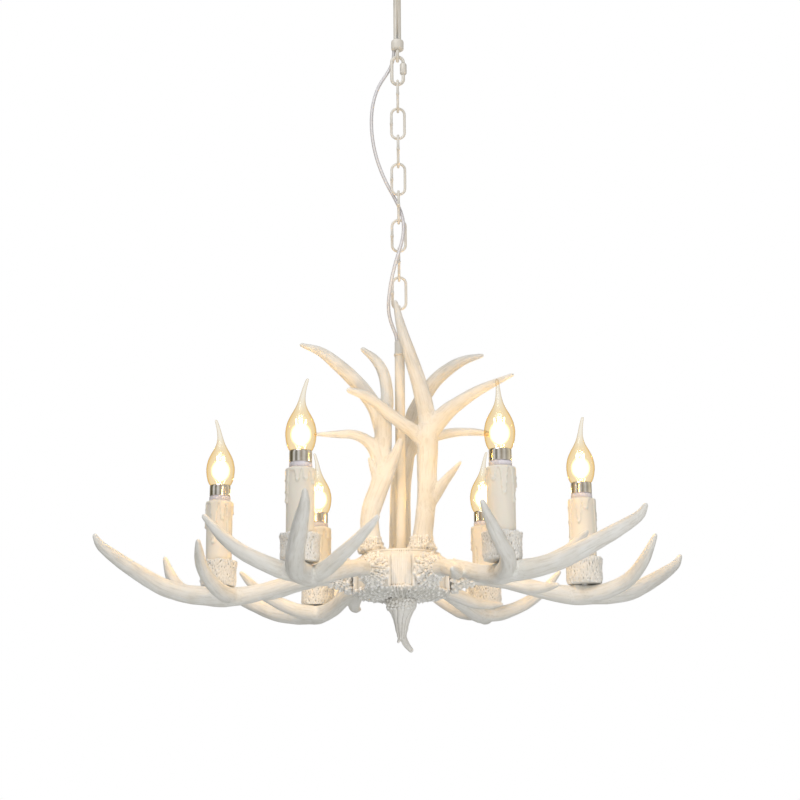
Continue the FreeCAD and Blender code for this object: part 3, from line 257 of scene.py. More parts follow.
# ------------------------------------------------------------------ upright antlers
# Three antlers cast in polyresin and painted matte white, screwed to the hub's top plate.
# Each limb has its points from the plate's top up, then its radii; the first limb is the beam's foot.
TOP = HUB_TOP * MM
UPRIGHTS = {
    "right": ((25, -21), (
        ([(25, -21, 0), (25, -21, 12), (29, -22, 42), (32, -22, 73), (32, -22, 99), (33, -22, 125),
          (34, -23, 152)], [15.0, 13.0, 12.0, 12.3, 12.4, 13.4, 12.4]),
        ([(33, -23, 144), (31, -23, 176), (23, -24, 210), (13, -25, 243), (3, -26, 276), (-5, -27, 312)],
         [10.0, 11.0, 9.7, 8.5, 6.7, 3.2]),
        ([(30, -23, 128), (16, -25, 147), (3, -27, 156), (-13, -31, 168), (-28, -36, 180), (-44, -42, 189),
          (-61, -50, 193)], [8.0, 9.0, 8.4, 7.8, 7.0, 6.0, 4.0]),
        ([(33, -22, 138), (45, -24, 158), (57, -25, 171), (71, -28, 181), (89, -33, 192), (109, -39, 201),
          (137, -46, 212)], [9.0, 11.4, 10.6, 8.9, 7.3, 5.6, 2.6]),
        ([(33, -22, 58), (43, -24, 71), (53, -28, 84), (63, -34, 95), (72, -40, 105)],
         [9.4, 8.0, 6.1, 4.4, 2.2]),
    )),
    "left": ((-36, -12), (
        ([(-36, -12, 0), (-36, -12, 12), (-38, -12, 40), (-34, -12, 61), (-27, -12, 82), (-22, -12, 104),
          (-21, -12, 130), (-21, -12, 160), (-21, -12, 178)],
         [14.4, 12.4, 11.5, 11.6, 11.0, 10.4, 10.6, 11.0, 9.4]),
        ([(-24, -12, 148), (-30, -12, 178), (-41, -12, 197), (-55, -14, 214), (-74, -17, 232),
          (-97, -20, 250), (-121, -25, 258)], [7.5, 9.6, 9.8, 9.5, 8.6, 6.5, 2.9]),
        ([(-22, -12, 150), (-17, -11, 178), (-16, -9, 200), (-20, -6, 225), (-30, -3, 244),
          (-46, 0, 259)], [7.5, 8.6, 8.0, 7.4, 6.2, 3.4]),
        ([(-26, -12, 112), (-33, -13, 130), (-43, -15, 140), (-58, -20, 145), (-76, -26, 144),
          (-103, -35, 142)], [8.2, 8.2, 7.2, 6.0, 5.0, 2.2]),
        ([(-28, -12, 80), (-31, -14, 96), (-35, -17, 107), (-38, -20, 115)], [6.6, 5.2, 3.8, 2.2]),
        ([(-33, -12, 52), (-24, -14, 78), (-15, -17, 98), (-7, -20, 117), (0, -22, 136)],
         [9.0, 9.4, 8.4, 6.9, 4.2]),
    )),
    "back": ((-1, 34), (
        ([(-1, 34, 0), (-1, 34, 14), (-1, 34, 40), (0, 34, 86), (4, 35, 118), (9, 36, 148), (13, 37, 172)],
         [15.4, 14.2, 13.6, 13.0, 12.4, 12.0, 10.6]),
        ([(11, 36, 158), (17, 37, 182), (28, 39, 204), (44, 42, 228), (63, 47, 246), (83, 53, 259),
          (106, 60, 267)], [8.8, 10.4, 10.0, 9.2, 8.2, 6.2, 3.0]),
        ([(6, 35, 124), (17, 37, 142), (32, 39, 152), (54, 43, 159), (76, 47, 163), (101, 51, 163),
          (126, 56, 159)], [7.4, 8.6, 7.6, 6.6, 5.8, 4.5, 2.2]),
    )),
}
# The limbs' tubes: sides, distance between rings, and the turns in degrees of the rings round a tip.
RING_SIDES = 20
RING_STEP = 4.0
TIP_RINGS = (35, 62, 82)
# The welded skins' grain is in metres.
ANTLER_GRAIN = 0.0012
WELD_RUBS = 6
# The grooves: how many go round a limb, the narrowest, how deep, the radius that has them in
# full, the least share of their depth, and how they slope and sway.
GROOVES_ROUND = (3, 5, 8, 11, 13, 17)
FINEST_GROOVE = 3.2
GROOVE_DEPTH = 0.6
FULL_GROOVE_RADIUS = 8
LEAST_GROOVE = 0.25
GROOVE_SLOPE = 0.012
GROOVE_SWAYS = (0.2, 0.7)
SWAY_LENGTHS = (25, 60)
GROOVE_LEVEL = 2.2
LIMB_BLEND = 2.2
GROOVE_RUBS = 3
FULL_TURN = 6.28
random = np.random.default_rng(7)


def smooth_line(spots, radii):
    """Centres and radii every few millimetres along a Catmull-Rom curve, rounded off at its tip."""
    knots = np.column_stack([np.array(spots, float), radii])
    padded = np.vstack([2 * knots[0] - knots[1], knots, 2 * knots[-1] - knots[-2]])
    rows = []
    for a, b, c, d in zip(padded, padded[1:], padded[2:], padded[3:]):
        steps = max(2, int(np.linalg.norm(c[:3] - b[:3]) / RING_STEP))
        for t in np.arange(steps) / steps:
            rows.append(0.5 * (2 * b + (c - a) * t + (2 * a - 5 * b + 4 * c - d) * t ** 2
                               + (3 * b - a - 3 * c + d) * t ** 3))
    rows.append(knots[-1])
    heading = rows[-1][:3] - rows[-2][:3]
    heading /= np.linalg.norm(heading)
    end, tip = rows[-1][:3], rows[-1][3]
    for turn in TIP_RINGS:
        angle = math.radians(turn)
        rows.append(np.array([*(end + heading * tip * math.sin(angle)), tip * math.cos(angle)]))
    return np.array(rows)


def close_up(name):
    """Fill the open ends of the mesh being edited, turn its faces outwards and name its object."""
    bpy.ops.mesh.select_all(action="SELECT")
    bpy.ops.mesh.fill_holes(sides=0)
    bpy.ops.mesh.select_all(action="SELECT")
    bpy.ops.mesh.normals_make_consistent(inside=False)
    bpy.ops.object.mode_set(mode="OBJECT")
    made = bpy.context.object
    made.name = name
    return made


def build_limb(line, name):
    """A closed tube: circles set square along the line, bridged and filled at both ends."""
    tangents = np.gradient(line[:, :3], axis=0)
    bpy.ops.object.select_all(action="DESELECT")
    for i, (row, tangent) in enumerate(zip(line, tangents)):
        turn = Vector(tangent).to_track_quat("Z", "Y").to_euler()
        spot = [c / MM for c in row[:3]]
        bpy.ops.mesh.primitive_circle_add(vertices=RING_SIDES, radius=row[3] / MM, location=spot,
                                          rotation=turn, enter_editmode=(i == 0))
    bpy.ops.mesh.select_all(action="SELECT")
    bpy.ops.mesh.bridge_edge_loops()
    return close_up(name)


def soften(made, rounds):
    """Rub a skin smooth, each round taking every point half of the way to its neighbours' middle."""
    bpy.ops.object.modifier_add(type="SMOOTH")
    rub = made.modifiers[-1]
    rub.factor = 0.5
    rub.iterations = rounds
    bpy.ops.object.modifier_apply(modifier=rub.name)


def join(pieces):
    """Make one object of several, with its origin at the frame's."""
    bpy.ops.object.select_all(action="DESELECT")
    for piece in pieces:
        piece.select_set(True)
    bpy.context.view_layer.objects.active = pieces[0]
    bpy.ops.object.join()
    bpy.ops.object.transform_apply(location=True, rotation=True, scale=True)
    return bpy.context.object


def weld(pieces, name, grain):
    """Make one skin of several tubes, as the clay original was, and soften the crotches."""
    made = join(pieces)
    made.name = name
    made.data.name = name
    bpy.ops.object.modifier_add(type="REMESH")
    skin = made.modifiers[-1]
    skin.mode = "VOXEL"
    skin.voxel_size = grain
    bpy.ops.object.modifier_apply(modifier=skin.name)
    soften(made, WELD_RUBS)
    return made


def read_points(mesh):
    """The mesh's points in millimetres, and its normals."""
    spots, normals = np.empty(len(mesh.vertices) * 3), np.empty(len(mesh.vertices) * 3)
    mesh.vertices.foreach_get("co", spots)
    mesh.vertices.foreach_get("normal", normals)
    return spots.reshape(-1, 3) * MM, normals.reshape(-1, 3)


def write_points(mesh, spots):
    """Move the mesh's points to these places in millimetres."""
    mesh.vertices.foreach_set("co", (spots / MM).ravel())
    mesh.update()


def coat(made, material):
    """Give the active piece its material and shade it smooth."""
    made.data.materials.append(material)
    bpy.ops.object.shade_smooth()


def groove(made, lines, depth):
    """Press long shallow grooves into a skin, each running along the nearest limb.

    Where limbs meet, their grooves blend by how near each limb is. Every point also keeps its
    place round and along its limb, for the materials.
    """
    spots, normals = read_points(made.data)
    count = len(spots)
    total = np.zeros(count)
    weights = np.zeros(count) + 1e-9
    around = np.zeros((count, 3))
    for line in lines:
        centres, radii = line[:, :3], line[:, 3]
        tangents = np.gradient(centres, axis=0)
        tangents /= np.linalg.norm(tangents, axis=1)[:, None]
        run = np.concatenate([[0], np.cumsum(np.linalg.norm(np.diff(centres, axis=0), axis=1))])
        # The nearest ring's number, out of every second one.
        near = np.argmin(((spots[:, None, :] - centres[None, ::2, :]) ** 2).sum(2)
                         - radii[None, ::2] ** 2, axis=1) * 2
        offset = spots - centres[near]
        along = (offset * tangents[near]).sum(1)
        side = offset - along[:, None] * tangents[near]
        reach = np.linalg.norm(side, axis=1)
        gap = np.abs(reach - radii[near]) + np.maximum(np.abs(along) - RING_STEP * 1.5, 0)
        # A frame carried along the limb without twisting gives each point its angle round the limb.
        upright = abs(tangents[0][2]) > 0.8
        carried = [np.cross(tangents[0], (1.0, 0.0, 0.0) if upright else (0.0, 0.0, 1.0))]
        for tangent in tangents:
            flat = carried[-1] - (carried[-1] @ tangent) * tangent
            carried.append(flat / np.linalg.norm(flat))
        first = np.array(carried[1:])[near]
        second = np.cross(tangents[near], first)
        across, over = (side * first).sum(1), (side * second).sum(1)
        angle = np.arctan2(over, across)
        place = run[near] + along
        waves = np.zeros(count)
        for turns in GROOVES_ROUND:
            kept = np.clip((FULL_TURN * radii[near] / turns - FINEST_GROOVE) / FINEST_GROOVE, 0, 1)
            for _ in range(2):
                slope, shift = random.normal(0, GROOVE_SLOPE), random.uniform(0, FULL_TURN)
                sway, length = random.uniform(*GROOVE_SWAYS), random.uniform(*SWAY_LENGTHS)
                swing = sway * np.sin(place / length * FULL_TURN + shift)
                waves += kept * np.cos(turns * angle + slope * place * FULL_TURN
                                       + swing + shift) / math.sqrt(turns)
        waves = -np.abs(waves) / GROOVE_LEVEL
        weight = np.exp(-gap / LIMB_BLEND)
        total += weight * waves * np.clip(radii[near] / FULL_GROOVE_RADIUS, LEAST_GROOVE, 1.0)
        around += weight[:, None] * np.column_stack([across, over, place])
        weights += weight
    height = total / weights
    spots += normals * (height * depth)[:, None]
    write_points(made.data, spots)
    store = made.data.attributes.new("along_limb", "FLOAT_VECTOR", "POINT")
    store.data.foreach_set("vector", (around / weights[:, None] / MM).ravel())
    soften(made, GROOVE_RUBS)


def cast_resin(name, crevice, face, crest, tooth):
    """Matte painted resin: grey in the hollows and lighter on the crests, by how pointed the skin is, a
    cloudy wash and fine tooth.
    """
    made, tree, shader = new_material(name)
    shader.inputs["Roughness"].default_value = 0.58
    shader.inputs["Specular IOR Level"].default_value = 0.35
    skin = add(tree, "NewGeometry")
    relief = ramp(tree, skin.outputs["Pointiness"],
                  [(0.40, crevice), (0.485, face), (0.515, face), (0.56, crest)])
    wash = ramp(tree, noise(tree, 38.0, 4.0, 0.6), [(0.3, "#F5F3EF"), (0.65, "#FFFFFF")])
    tree.links.new(product(tree, relief.outputs["Color"], wash.outputs["Color"]), shader.inputs["Base Color"])
    bump = add(tree, "Bump", {"Strength": tooth, "Distance": 0.0004},
               {"Height": noise(tree, 850.0, 3.0, 0.65)})
    tree.links.new(bump.outputs["Normal"], shader.inputs["Normal"])
    return made, tree, shader, bump


# The antlers' resin is smoother, with fine creases and dust that run along each limb.
resin, tree, shader, bump = cast_resin("cast_polyresin_matte_white", "#C4C1BA", "#F0EFEB", "#FAF9F6",
                                       tooth=0.1)
streak = add(tree, "Attribute", {"attribute_name": "along_limb"})
stretch = add(tree, "VectorMath", {"operation": "MULTIPLY"}, {0: streak.outputs["Vector"]})
stretch.inputs[1].default_value = (1, 1, 0.10)
lines = add(tree, "TexNoise", {"Scale": 420.0, "Detail": 4.0, "Roughness": 0.6},
            {"Vector": stretch.outputs["Vector"]})
crease = add(tree, "Bump", {"Strength": 0.3, "Distance": 0.0006},
             {"Height": lines.outputs["Fac"], "Normal": bump.outputs["Normal"]})
tree.links.new(crease.outputs["Normal"], shader.inputs["Normal"])
dust = ramp(tree, lines.outputs["Fac"], [(0.32, "#EFEEEB"), (0.52, "#FFFFFF")])
paint = shader.inputs["Base Color"].links[0].from_socket
tree.links.new(product(tree, paint, dust.outputs["Color"]), shader.inputs["Base Color"])

for side, (_, branches) in UPRIGHTS.items():
    lines = [smooth_line([(x, y, TOP + h) for x, y, h in spots], radii) for spots, radii in branches]
    limbs = [build_limb(line, f"upright_{side}_limb") for line in lines]
    antler = weld(limbs, f"upright_antler_{side}_cast", ANTLER_GRAIN)
    groove(antler, lines, GROOVE_DEPTH)
    coat(antler, resin)
    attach(antler, "chandelier")
    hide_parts(f"upright_antler_{side}")

# ------------------------------------------------------------------ candle arms
# Six like antlers cast from one mould, bolted to the drum's bosses. Each lies on its back:
# beam outwards, three tines sweeping up past the candle and a short brow tine near the hub.
# The roots' height, how far out from the lamp's axis they and the candles are, and the fork: out,
# aside and how much above the roots.
ARM_ROOT = TOP - 27.0
SEAT = 60.0
CANDLE = 221.0
FORK = (CANDLE, 3.0, -23.5)
# Each limb starts at the root or the fork: points outwards, aside and up from there, then radii.
ARM_LIMBS = (
    ("root", [(0, 0, 0), (22, 0, -0.5), (62, 4, -5), (113, 1, -18.5), (145, 3, -23.5), (161, 3, -23.5),
              (175, 6, -22.5)], [11.0, 10.0, 9.6, 10.4, 11.8, 12.2, 11.6]),
    ("fork", [(-14, -1, 1), (17, 7, 1), (38, 17, 2.5), (60, 31, 8), (80, 46, 18), (106, 68, 34),
              (126, 86, 49), (133, 91, 60)], [12.0, 11.8, 11.2, 10.6, 9.9, 8.4, 6.0, 3.2]),
    ("fork", [(-4, -2, 0), (19, -11, 2), (33, -18, 6), (46, -28, 12), (57, -43, 22), (67, -60, 38),
              (76, -77, 59)], [10.4, 10.1, 9.5, 8.9, 8.1, 6.7, 3.1]),
    ("fork", [(-20, 0, 0), (-11, 16, 2), (-3, 33, 6), (6, 55, 16), (11, 76, 28), (12, 91, 40),
              (12, 103, 51)], [9.8, 9.8, 9.2, 8.3, 7.1, 5.7, 3.1]),
    ("root", [(46, 0, -4), (70, -8, -9), (92, -17, -16), (110, -29, -18), (124, -42, -17)],
     [9.0, 8.9, 7.9, 6.2, 3.0]),
)
ARMS = 6
AZIMUTHS = [30 + 360 // ARMS * k for k in range(ARMS)]

lines = []
for start, steps, radii in ARM_LIMBS:
    out, aside, up = (SEAT, 0, 0) if start == "root" else FORK
    spots = [(aside + t, -(out + r), ARM_ROOT + up + h) for r, t, h in steps]
    lines.append(smooth_line(spots, radii))
limbs = [build_limb(line, "arm_limb") for line in lines]
arm = weld(limbs, "antler_arm_cast", ANTLER_GRAIN)
groove(arm, lines, GROOVE_DEPTH)
coat(arm, resin)


def copy_round(master, name, azimuth):
    """A copy with its own mesh, turned about the lamp's axis, its place in its mesh."""
    made = bpy.data.objects.new(name, master.data.copy())
    made.data.name = name
    made.data.transform(Matrix.Rotation(math.radians(azimuth), 4, "Z"))
    bpy.context.collection.objects.link(made)
    return made


for number, azimuth in enumerate(AZIMUTHS, start=1):
    piece = copy_round(arm, f"antler_arm_{number}_cast", azimuth)
    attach(piece, "chandelier")
    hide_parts(f"antler_arm_{number}")
bpy.data.objects.remove(arm)

# ------------------------------------------------------------------ burrs
# Where an antler meets the hub it has a burr: a knobbly collar of small pearls. The knobs are
# cast with the antler, but are finer than its skin, so each burr is a piece of its own.
# The bumps come from a table with this many values each way; scattering tries this many points.
TABLE = 64
MOST_TRIES = 6000
# Shares of a burr's pearl size and spacing, and the radius inside which it has no pearls.
LARGE_HEIGHT = 1.1
SMALL_SPACING = 0.62
SMALL_SIZE = 0.55
SMALL_HEIGHT = 0.5
BURR_MIDDLE = 4


def eased(part):
    """A share from 0 to 1 that starts and ends gently."""
    return part * part * (3 - 2 * part)


def ripple(points, size, seed):
    """Soft random bumps about that far apart, from -1 to 1, at each point in millimetres."""
    table = np.random.default_rng(seed).uniform(-1, 1, (TABLE, TABLE, TABLE))
    cell = points / size
    base = np.floor(cell).astype(int)
    part = eased(cell - base)
    total = np.zeros(len(points))
    for corner in np.ndindex(2, 2, 2):
        share = np.prod(np.where(np.array(corner), part, 1 - part), axis=1)
        total += share * table[tuple(((base + corner) % TABLE).T)]
    return total


def turned(profile, sides, name, step=1.0):
    """A form turned like a pot on a wheel, from radii and heights in millimetres.

    Its rings are no more than step apart, and open ends are filled.
    """
    corners = np.array(profile, float)
    rings = [corners[0]]
    for a, b in zip(corners, corners[1:]):
        count = max(1, int(np.ceil(np.linalg.norm(b - a) / step)))
        rings += [a + (b - a) * (k + 1) / count for k in range(count)]
    bpy.ops.object.select_all(action="DESELECT")
    # A small plane merged into one point starts the profile, and each extrusion adds a point.
    bpy.ops.mesh.primitive_plane_add(size=1 / MM, enter_editmode=True)
    bpy.ops.mesh.merge(type="CENTER")
    bpy.ops.transform.translate(value=(rings[0][0] / MM, 0, rings[0][1] / MM))
    for a, b in zip(rings, rings[1:]):
        bpy.ops.mesh.extrude_region_move(
            TRANSFORM_OT_translate={"value": ((b[0] - a[0]) / MM, 0, (b[1] - a[1]) / MM)})
    bpy.ops.object.mode_set(mode="OBJECT")
    made = bpy.context.object
    bpy.ops.object.modifier_add(type="SCREW")
    wheel = made.modifiers[-1]
    wheel.steps = sides
    wheel.render_steps = sides
    wheel.use_merge_vertices = True
    wheel.merge_threshold = SAME_POINT / 2
    bpy.ops.object.modifier_apply(modifier=wheel.name)
    bpy.ops.object.mode_set(mode="EDIT")
    bpy.ops.mesh.select_all(action="SELECT")
    bpy.ops.mesh.remove_doubles(threshold=SAME_POINT / 2)
    made = close_up(name)
    made.data.name = name
    return made


# Carved resin: the same paint, much darker in its hollows, by how pointed the skin is.
pebbled, *_ = cast_resin("cast_polyresin_carved", "#85817A", "#EFEDE8", "#FFFFFF", tooth=0.45)


def pearl(spots, centres, radius, height):
    """Raise a round knob at each centre: how far each point moves out along its normal."""
    tree = KDTree(len(centres))
    for i, centre in enumerate(centres):
        tree.insert(centre, i)
    tree.balance()
    gaps = np.array([tree.find(spot)[2] for spot in spots])
    return height * np.sqrt(np.clip(1 - (gaps / radius) ** 2, 0, 1))


def scatter(spots, chosen, spacing, seed):
    """Some of the chosen points, none closer together than spacing."""
    order = np.random.default_rng(seed).permutation(np.flatnonzero(chosen))[:MOST_TRIES]
    kept = spots[order[:1]]
    for spot in spots[order]:
        if ((kept - spot) ** 2).sum(1).min() > spacing ** 2:
            kept = np.vstack([kept, spot])
    return kept


def burr(profile, name, spacing, size, seed):
    """A collar with pearls of two sizes, over ridges that run along its antler."""
    made = turned(profile, sides=150, name=name, step=0.8)
    spots, normals = read_points(made.data)
    side = np.hypot(spots[:, 0], spots[:, 1]) > BURR_MIDDLE
    large = pearl(spots, scatter(spots, side, spacing, seed), size, size * LARGE_HEIGHT)
    between = scatter(spots, side, spacing * SMALL_SPACING, seed + 1)
    small = pearl(spots, between, size * SMALL_SIZE, size * SMALL_HEIGHT)
    turn = np.arctan2(spots[:, 1], spots[:, 0])
    flow = np.column_stack([np.cos(turn) * 16, np.sin(turn) * 16, spots[:, 2] * 0.25])
    ridges = 1.3 - 3.0 * np.abs(ripple(flow, 3.0, seed + 2))
    moved = np.maximum(large, small) + side * ridges - 0.9
    spots += normals * moved[:, None]
    write_points(made.data, spots)
    coat(made, pebbled)
    return made


UPRIGHT_BURR = [(0.5, 0), (14.5, 0), (16.6, 1.5), (17.2, 3.5), (16.2, 6.5), (14.6, 9.0), (13.8, 13.0),
                (12.6, 18.0), (9, 18.5), (0.5, 18.5)]
# The profile fits an antler with this radius at its foot.
UPRIGHT_BURR_FOOT = 15.0
for side, (place, branches) in UPRIGHTS.items():
    scale = branches[0][1][0] / UPRIGHT_BURR_FOOT
    collar = burr([(r * scale, z) for r, z in UPRIGHT_BURR], f"upright_burr_{side}_cast",
                  spacing=5.2, size=1.7, seed=100 + place[0])
    collar.data.transform(Matrix.Translation((place[0] / MM, place[1] / MM, HUB_TOP)))
    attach(collar, "chandelier")
    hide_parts(f"upright_antler_{side}")

ARM_BURR = [(0.5, 0.3), (17.0, 0.3), (19.5, 1.5), (20.5, 4.0), (19.2, 7.0), (16.5, 10.0), (14.0, 14.0),
            (12.4, 20.0), (11.2, 27.0), (8.0, 27.5), (0.5, 27.5)]
collar = burr(ARM_BURR, "arm_burr_cast", spacing=5.4, size=2.2, seed=40)
collar.data.transform(Matrix.Translation((0, -SEAT / MM, ARM_ROOT / MM))
                      @ Matrix.Rotation(math.radians(90), 4, "X"))
for number, azimuth in enumerate(AZIMUTHS, start=1):
    piece = copy_round(collar, f"arm_burr_{number}_cast", azimuth)
    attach(piece, "chandelier")
    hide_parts(f"antler_arm_{number}")
bpy.data.objects.remove(collar)

# ------------------------------------------------------------------ hub
# A hollow drum of cast resin: a lipped top plate, wood-grained panels between six flats that the
# arms bolt to, and a pebbled underside. A thin shadow gap shows between each flat and its burr.
DRUM_HEIGHT = 53.4
DRUM = [(5, -DRUM_HEIGHT), (18, -DRUM_HEIGHT), (44, -52.8), (50, -51.6), (54.5, -49.5), (56.8, -47.4),
        (57.2, -45.8), (55.2, -44.6), (54.2, -44), (54.2, -13), (53.6, -9.2), (52.4, -6.6), (50.4, -4.6),
        (48.4, -3.2), (47.6, -2.6), (48.0, -2.0), (48.0, -0.5), (47.4, 0), (6.4, 0)]
WALL_INSIDE = 45
# The flats: how far out, how wide and how sharp at their sides, in degrees; and the lines beside them.
FLAT_REACH = 57.6
FLAT_HALF_WIDTH = 17.5
FLAT_EASE = 1.6
LINE_PLACE = 16.5
LINE_WIDTH = 2.2
LINE_DEPTH = 0.5
# The underside: how far down it starts, how far down its painted shade starts, and its knobs.
UNDERSIDE = 44.5
UNDERSIDE_SHADE = 46.0
KNOB_SPACING = 6.0
KNOB_RADIUS = 2.1
KNOB_HEIGHT = 1.7

drum = turned([(r, TOP + z) for r, z in DRUM], sides=480, name="hub_drum_cast")
spots, normals = read_points(drum.data)
turn = np.degrees(np.arctan2(spots[:, 0], -spots[:, 1]))
off = turn % 60 - 30
reach = np.hypot(spots[:, 0], spots[:, 1])
below = TOP - spots[:, 2]
outside = reach > WALL_INSIDE
# The wall is pushed out to the six flats, with a line down each side of a flat.
wall = np.clip((below - 3) / 9, 0, 1) * np.clip((48 - below) / 3, 0, 1) * outside
wanted = FLAT_REACH / np.cos(np.radians(off))
share = eased(np.clip((FLAT_HALF_WIDTH - np.abs(off)) / FLAT_EASE, 0, 1) * wall)
spots[:, :2] *= (1 + share * (np.maximum(wanted, reach) / reach - 1))[:, None]
line = np.clip(1 - np.abs(np.abs(off) - LINE_PLACE) / LINE_WIDTH, 0, 1) * wall
# Between the flats, upright wood grain of three widths.
side = np.clip(below / 4, 0, 1) * np.clip((47.5 - below) / 2, 0, 1) * outside
arc = np.column_stack([turn * 0.95, below / 14, np.zeros(len(spots))])
grain = (np.abs(ripple(arc * (1, 1, 0), 0.9, 3)) ** 0.6 * 0.8 + np.abs(ripple(arc, 2.3, 4)) ** 0.7 * 0.9
         + 0.4 * ripple(arc, 6, 5))
panel = side * np.clip((np.abs(off) - 14.0) / 3, 0, 1)
moved = panel * (0.9 - 1.0 * grain) - 0.12 * share * np.abs(ripple(arc, 1.6, 6))
moved -= LINE_DEPTH * line
# Underneath, knobs and ridges that run out from the middle.
low = np.clip((below - UNDERSIDE - 1.6 * ripple(arc * (1, 0, 0), 3.2, 7)) / 1.2, 0, 1) * (reach > 19)
knobs = scatter(spots, low > 0.5, KNOB_SPACING, 8)
ridges = np.abs(ripple(np.column_stack([turn * 0.8, reach / 9, below / 4]), 2.6, 9))
moved += low * (pearl(spots, knobs, KNOB_RADIUS, KNOB_HEIGHT) - 2.4 * ridges
                + 0.5 * ripple(spots, 1.7, 10) + 1.1)
spots += normals * moved[:, None]
write_points(drum.data, spots)
coat(drum, pebbled)
# The lowest faces of the underside take a darker copy of the carved resin: painted shade, since the underside
# faces away from the lamps.
painted_shade_underside, *_ = cast_resin("cast_polyresin_underside_painted_shade", "#77746E", "#DCDBD6", "#FFFFFF", tooth=0.45)
drum.data.materials.append(painted_shade_underside)
middles = np.empty(len(drum.data.polygons) * 3)
drum.data.polygons.foreach_get("center", middles)
below = TOP - middles.reshape(-1, 3)[:, 2] * MM
drum.data.polygons.foreach_set("material_index", (below > UNDERSIDE_SHADE).astype(np.int32))
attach(drum, "chandelier")
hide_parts("hub_body", "hub_cover", "hub_base")

# ------------------------------------------------------------------ finial
# The stub of a small antler hung tip down under the hub: a knobbly collar, a fluted cone and a
# hooked tip with one tiny side tine.
FINIAL_TOP = TOP - DRUM_HEIGHT
FINIAL = [(0.5, 0), (15.5, 0), (17.6, -1.5), (18.4, -5), (18.0, -9), (16.8, -12.5), (15.2, -15), (12.6, -20),
          (10.6, -25), (8.8, -31), (7.4, -38), (5.8, -44), (4.6, -49), (0.5, -49.5)]
FINIAL_TIP = ([(0, 0, -28), (0.5, 0, -40), (2, 0, -48), (6, -1, -56), (11, -2, -62)],
              [7.0, 6.0, 4.4, 3.9, 3.0])
FINIAL_NUB = ([(1, 0, -42), (-2.5, 0, -48), (-4.0, 0, -52)], [4.0, 2.8, 1.8])
FINIAL_GRAIN = 0.0007
FLUTE_DEPTH = 1.5

tip_line, nub_line = (smooth_line([(x, y, FINIAL_TOP + z) for x, y, z in spots], radii)
                      for spots, radii in (FINIAL_TIP, FINIAL_NUB))
body = turned([(r, FINIAL_TOP + z) for r, z in FINIAL], sides=120, name="finial_body", step=0.8)
finial = weld([body, build_limb(tip_line, "finial_tip"), build_limb(nub_line, "finial_nub")],
              "finial_cast", FINIAL_GRAIN)
spots, normals = read_points(finial.data)
depth = FINIAL_TOP - spots[:, 2]
turn = np.arctan2(spots[:, 1], spots[:, 0])
flutes = np.abs(np.sin(turn * 5 + 0.05 * depth + ripple(spots, 12, 31)))
fluted = np.clip((depth - 3) / 8, 0, 1) * np.clip((54 - depth) / 10, 0, 1)
moved = -FLUTE_DEPTH * fluted * (1 - flutes) ** 2
# The collar's knobs stand out most on its left.
left = np.clip((spots[:, 0] * -0.6 - spots[:, 1] * 0.2 + 8) / 4, 0.25, 1)
knobs = scatter(spots, (depth > 3) & (depth < 15), 4.2, 33)
moved += np.clip((16 - depth) / 3, 0, 1) * left * pearl(spots, knobs, 2.3, 1.8) + 0.3 * ripple(spots, 2.6, 34)
spots += normals * moved[:, None]
write_points(finial.data, spots)
coat(finial, pebbled)
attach(finial, "chandelier")
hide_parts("finial")

# ------------------------------------------------------------------ candle cups
# Bark-faced pots cast in the same resin, glued on the arms' seats. Their rims are ragged and
# their sides are furrowed like old pine bark.
CUP_SEAT = TOP - 37.5
CUP = [(5.2, 0), (19.0, 0), (20.2, 1.5), (21.2, 6), (20.8, 14), (20.9, 22), (21.8, 27), (22.0, 30),
       (21.2, 31), (17.0, 31), (16.2, 30), (16.0, 5), (5.2, 4.5)]
# How deep the bark is, the radius it starts at, and how high up the ragged rim starts.
BARK_DEPTH = 1.2
BARK_INSIDE = 17.2
RIM_START = 24


def bark(made, seed):
    """Furrow a turned pot's outside: broken upright ridges and a ragged rim."""
    spots, _ = read_points(made.data)
    reach = np.hypot(spots[:, 0], spots[:, 1])
    turn = np.arctan2(spots[:, 1], spots[:, 0])
    height = spots[:, 2] - CUP_SEAT
    flow = np.column_stack([np.cos(turn) * 20, np.sin(turn) * 20, height * 0.45])
    twist = 2.2 * ripple(flow, 6, seed)
    ridge = np.abs(ripple(flow + twist[:, None], 1.7, seed + 1))
    plates = np.abs(ripple(flow * (1, 1, 2.2), 4.2, seed + 2))
    outside = np.clip((reach - BARK_INSIDE) / 1.5, 0, 1)
    furrows = 0.9 - 2.1 * ridge * (0.4 + plates) + 0.35 * ripple(spots, 1.6, seed + 3)
    moved = outside * BARK_DEPTH * furrows
    radial = np.column_stack([np.cos(turn), np.sin(turn), np.zeros(len(spots))])
    spots += radial * moved[:, None]
    rim = np.clip((height - RIM_START) / 7, 0, 1) * (reach > 16.5)
    spots[:, 2] += rim * (1.3 * ripple(flow * (1, 1, 0), 3.0, seed + 4) - 0.4)
    write_points(made.data, spots)


def candle_place(azimuth):
    """Where the candle of the arm at that azimuth stands, from one on the lamp's axis."""
    return Matrix.Rotation(math.radians(azimuth), 4, "Z") @ Matrix.Translation((0, -CANDLE / MM, 0))


blank = turned([(r, CUP_SEAT + z) for r, z in CUP], sides=220, name="candle_cup_blank", step=0.9)
coat(blank, pebbled)
for number, azimuth in enumerate(AZIMUTHS, start=1):
    cup = copy_round(blank, f"candle_cup_{number}_bark", 0)
    bark(cup, 60 + 7 * number)
    cup.data.transform(candle_place(azimuth))
    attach(cup, "chandelier")
    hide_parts(f"candle_cup_{number}")
bpy.data.objects.remove(blank)

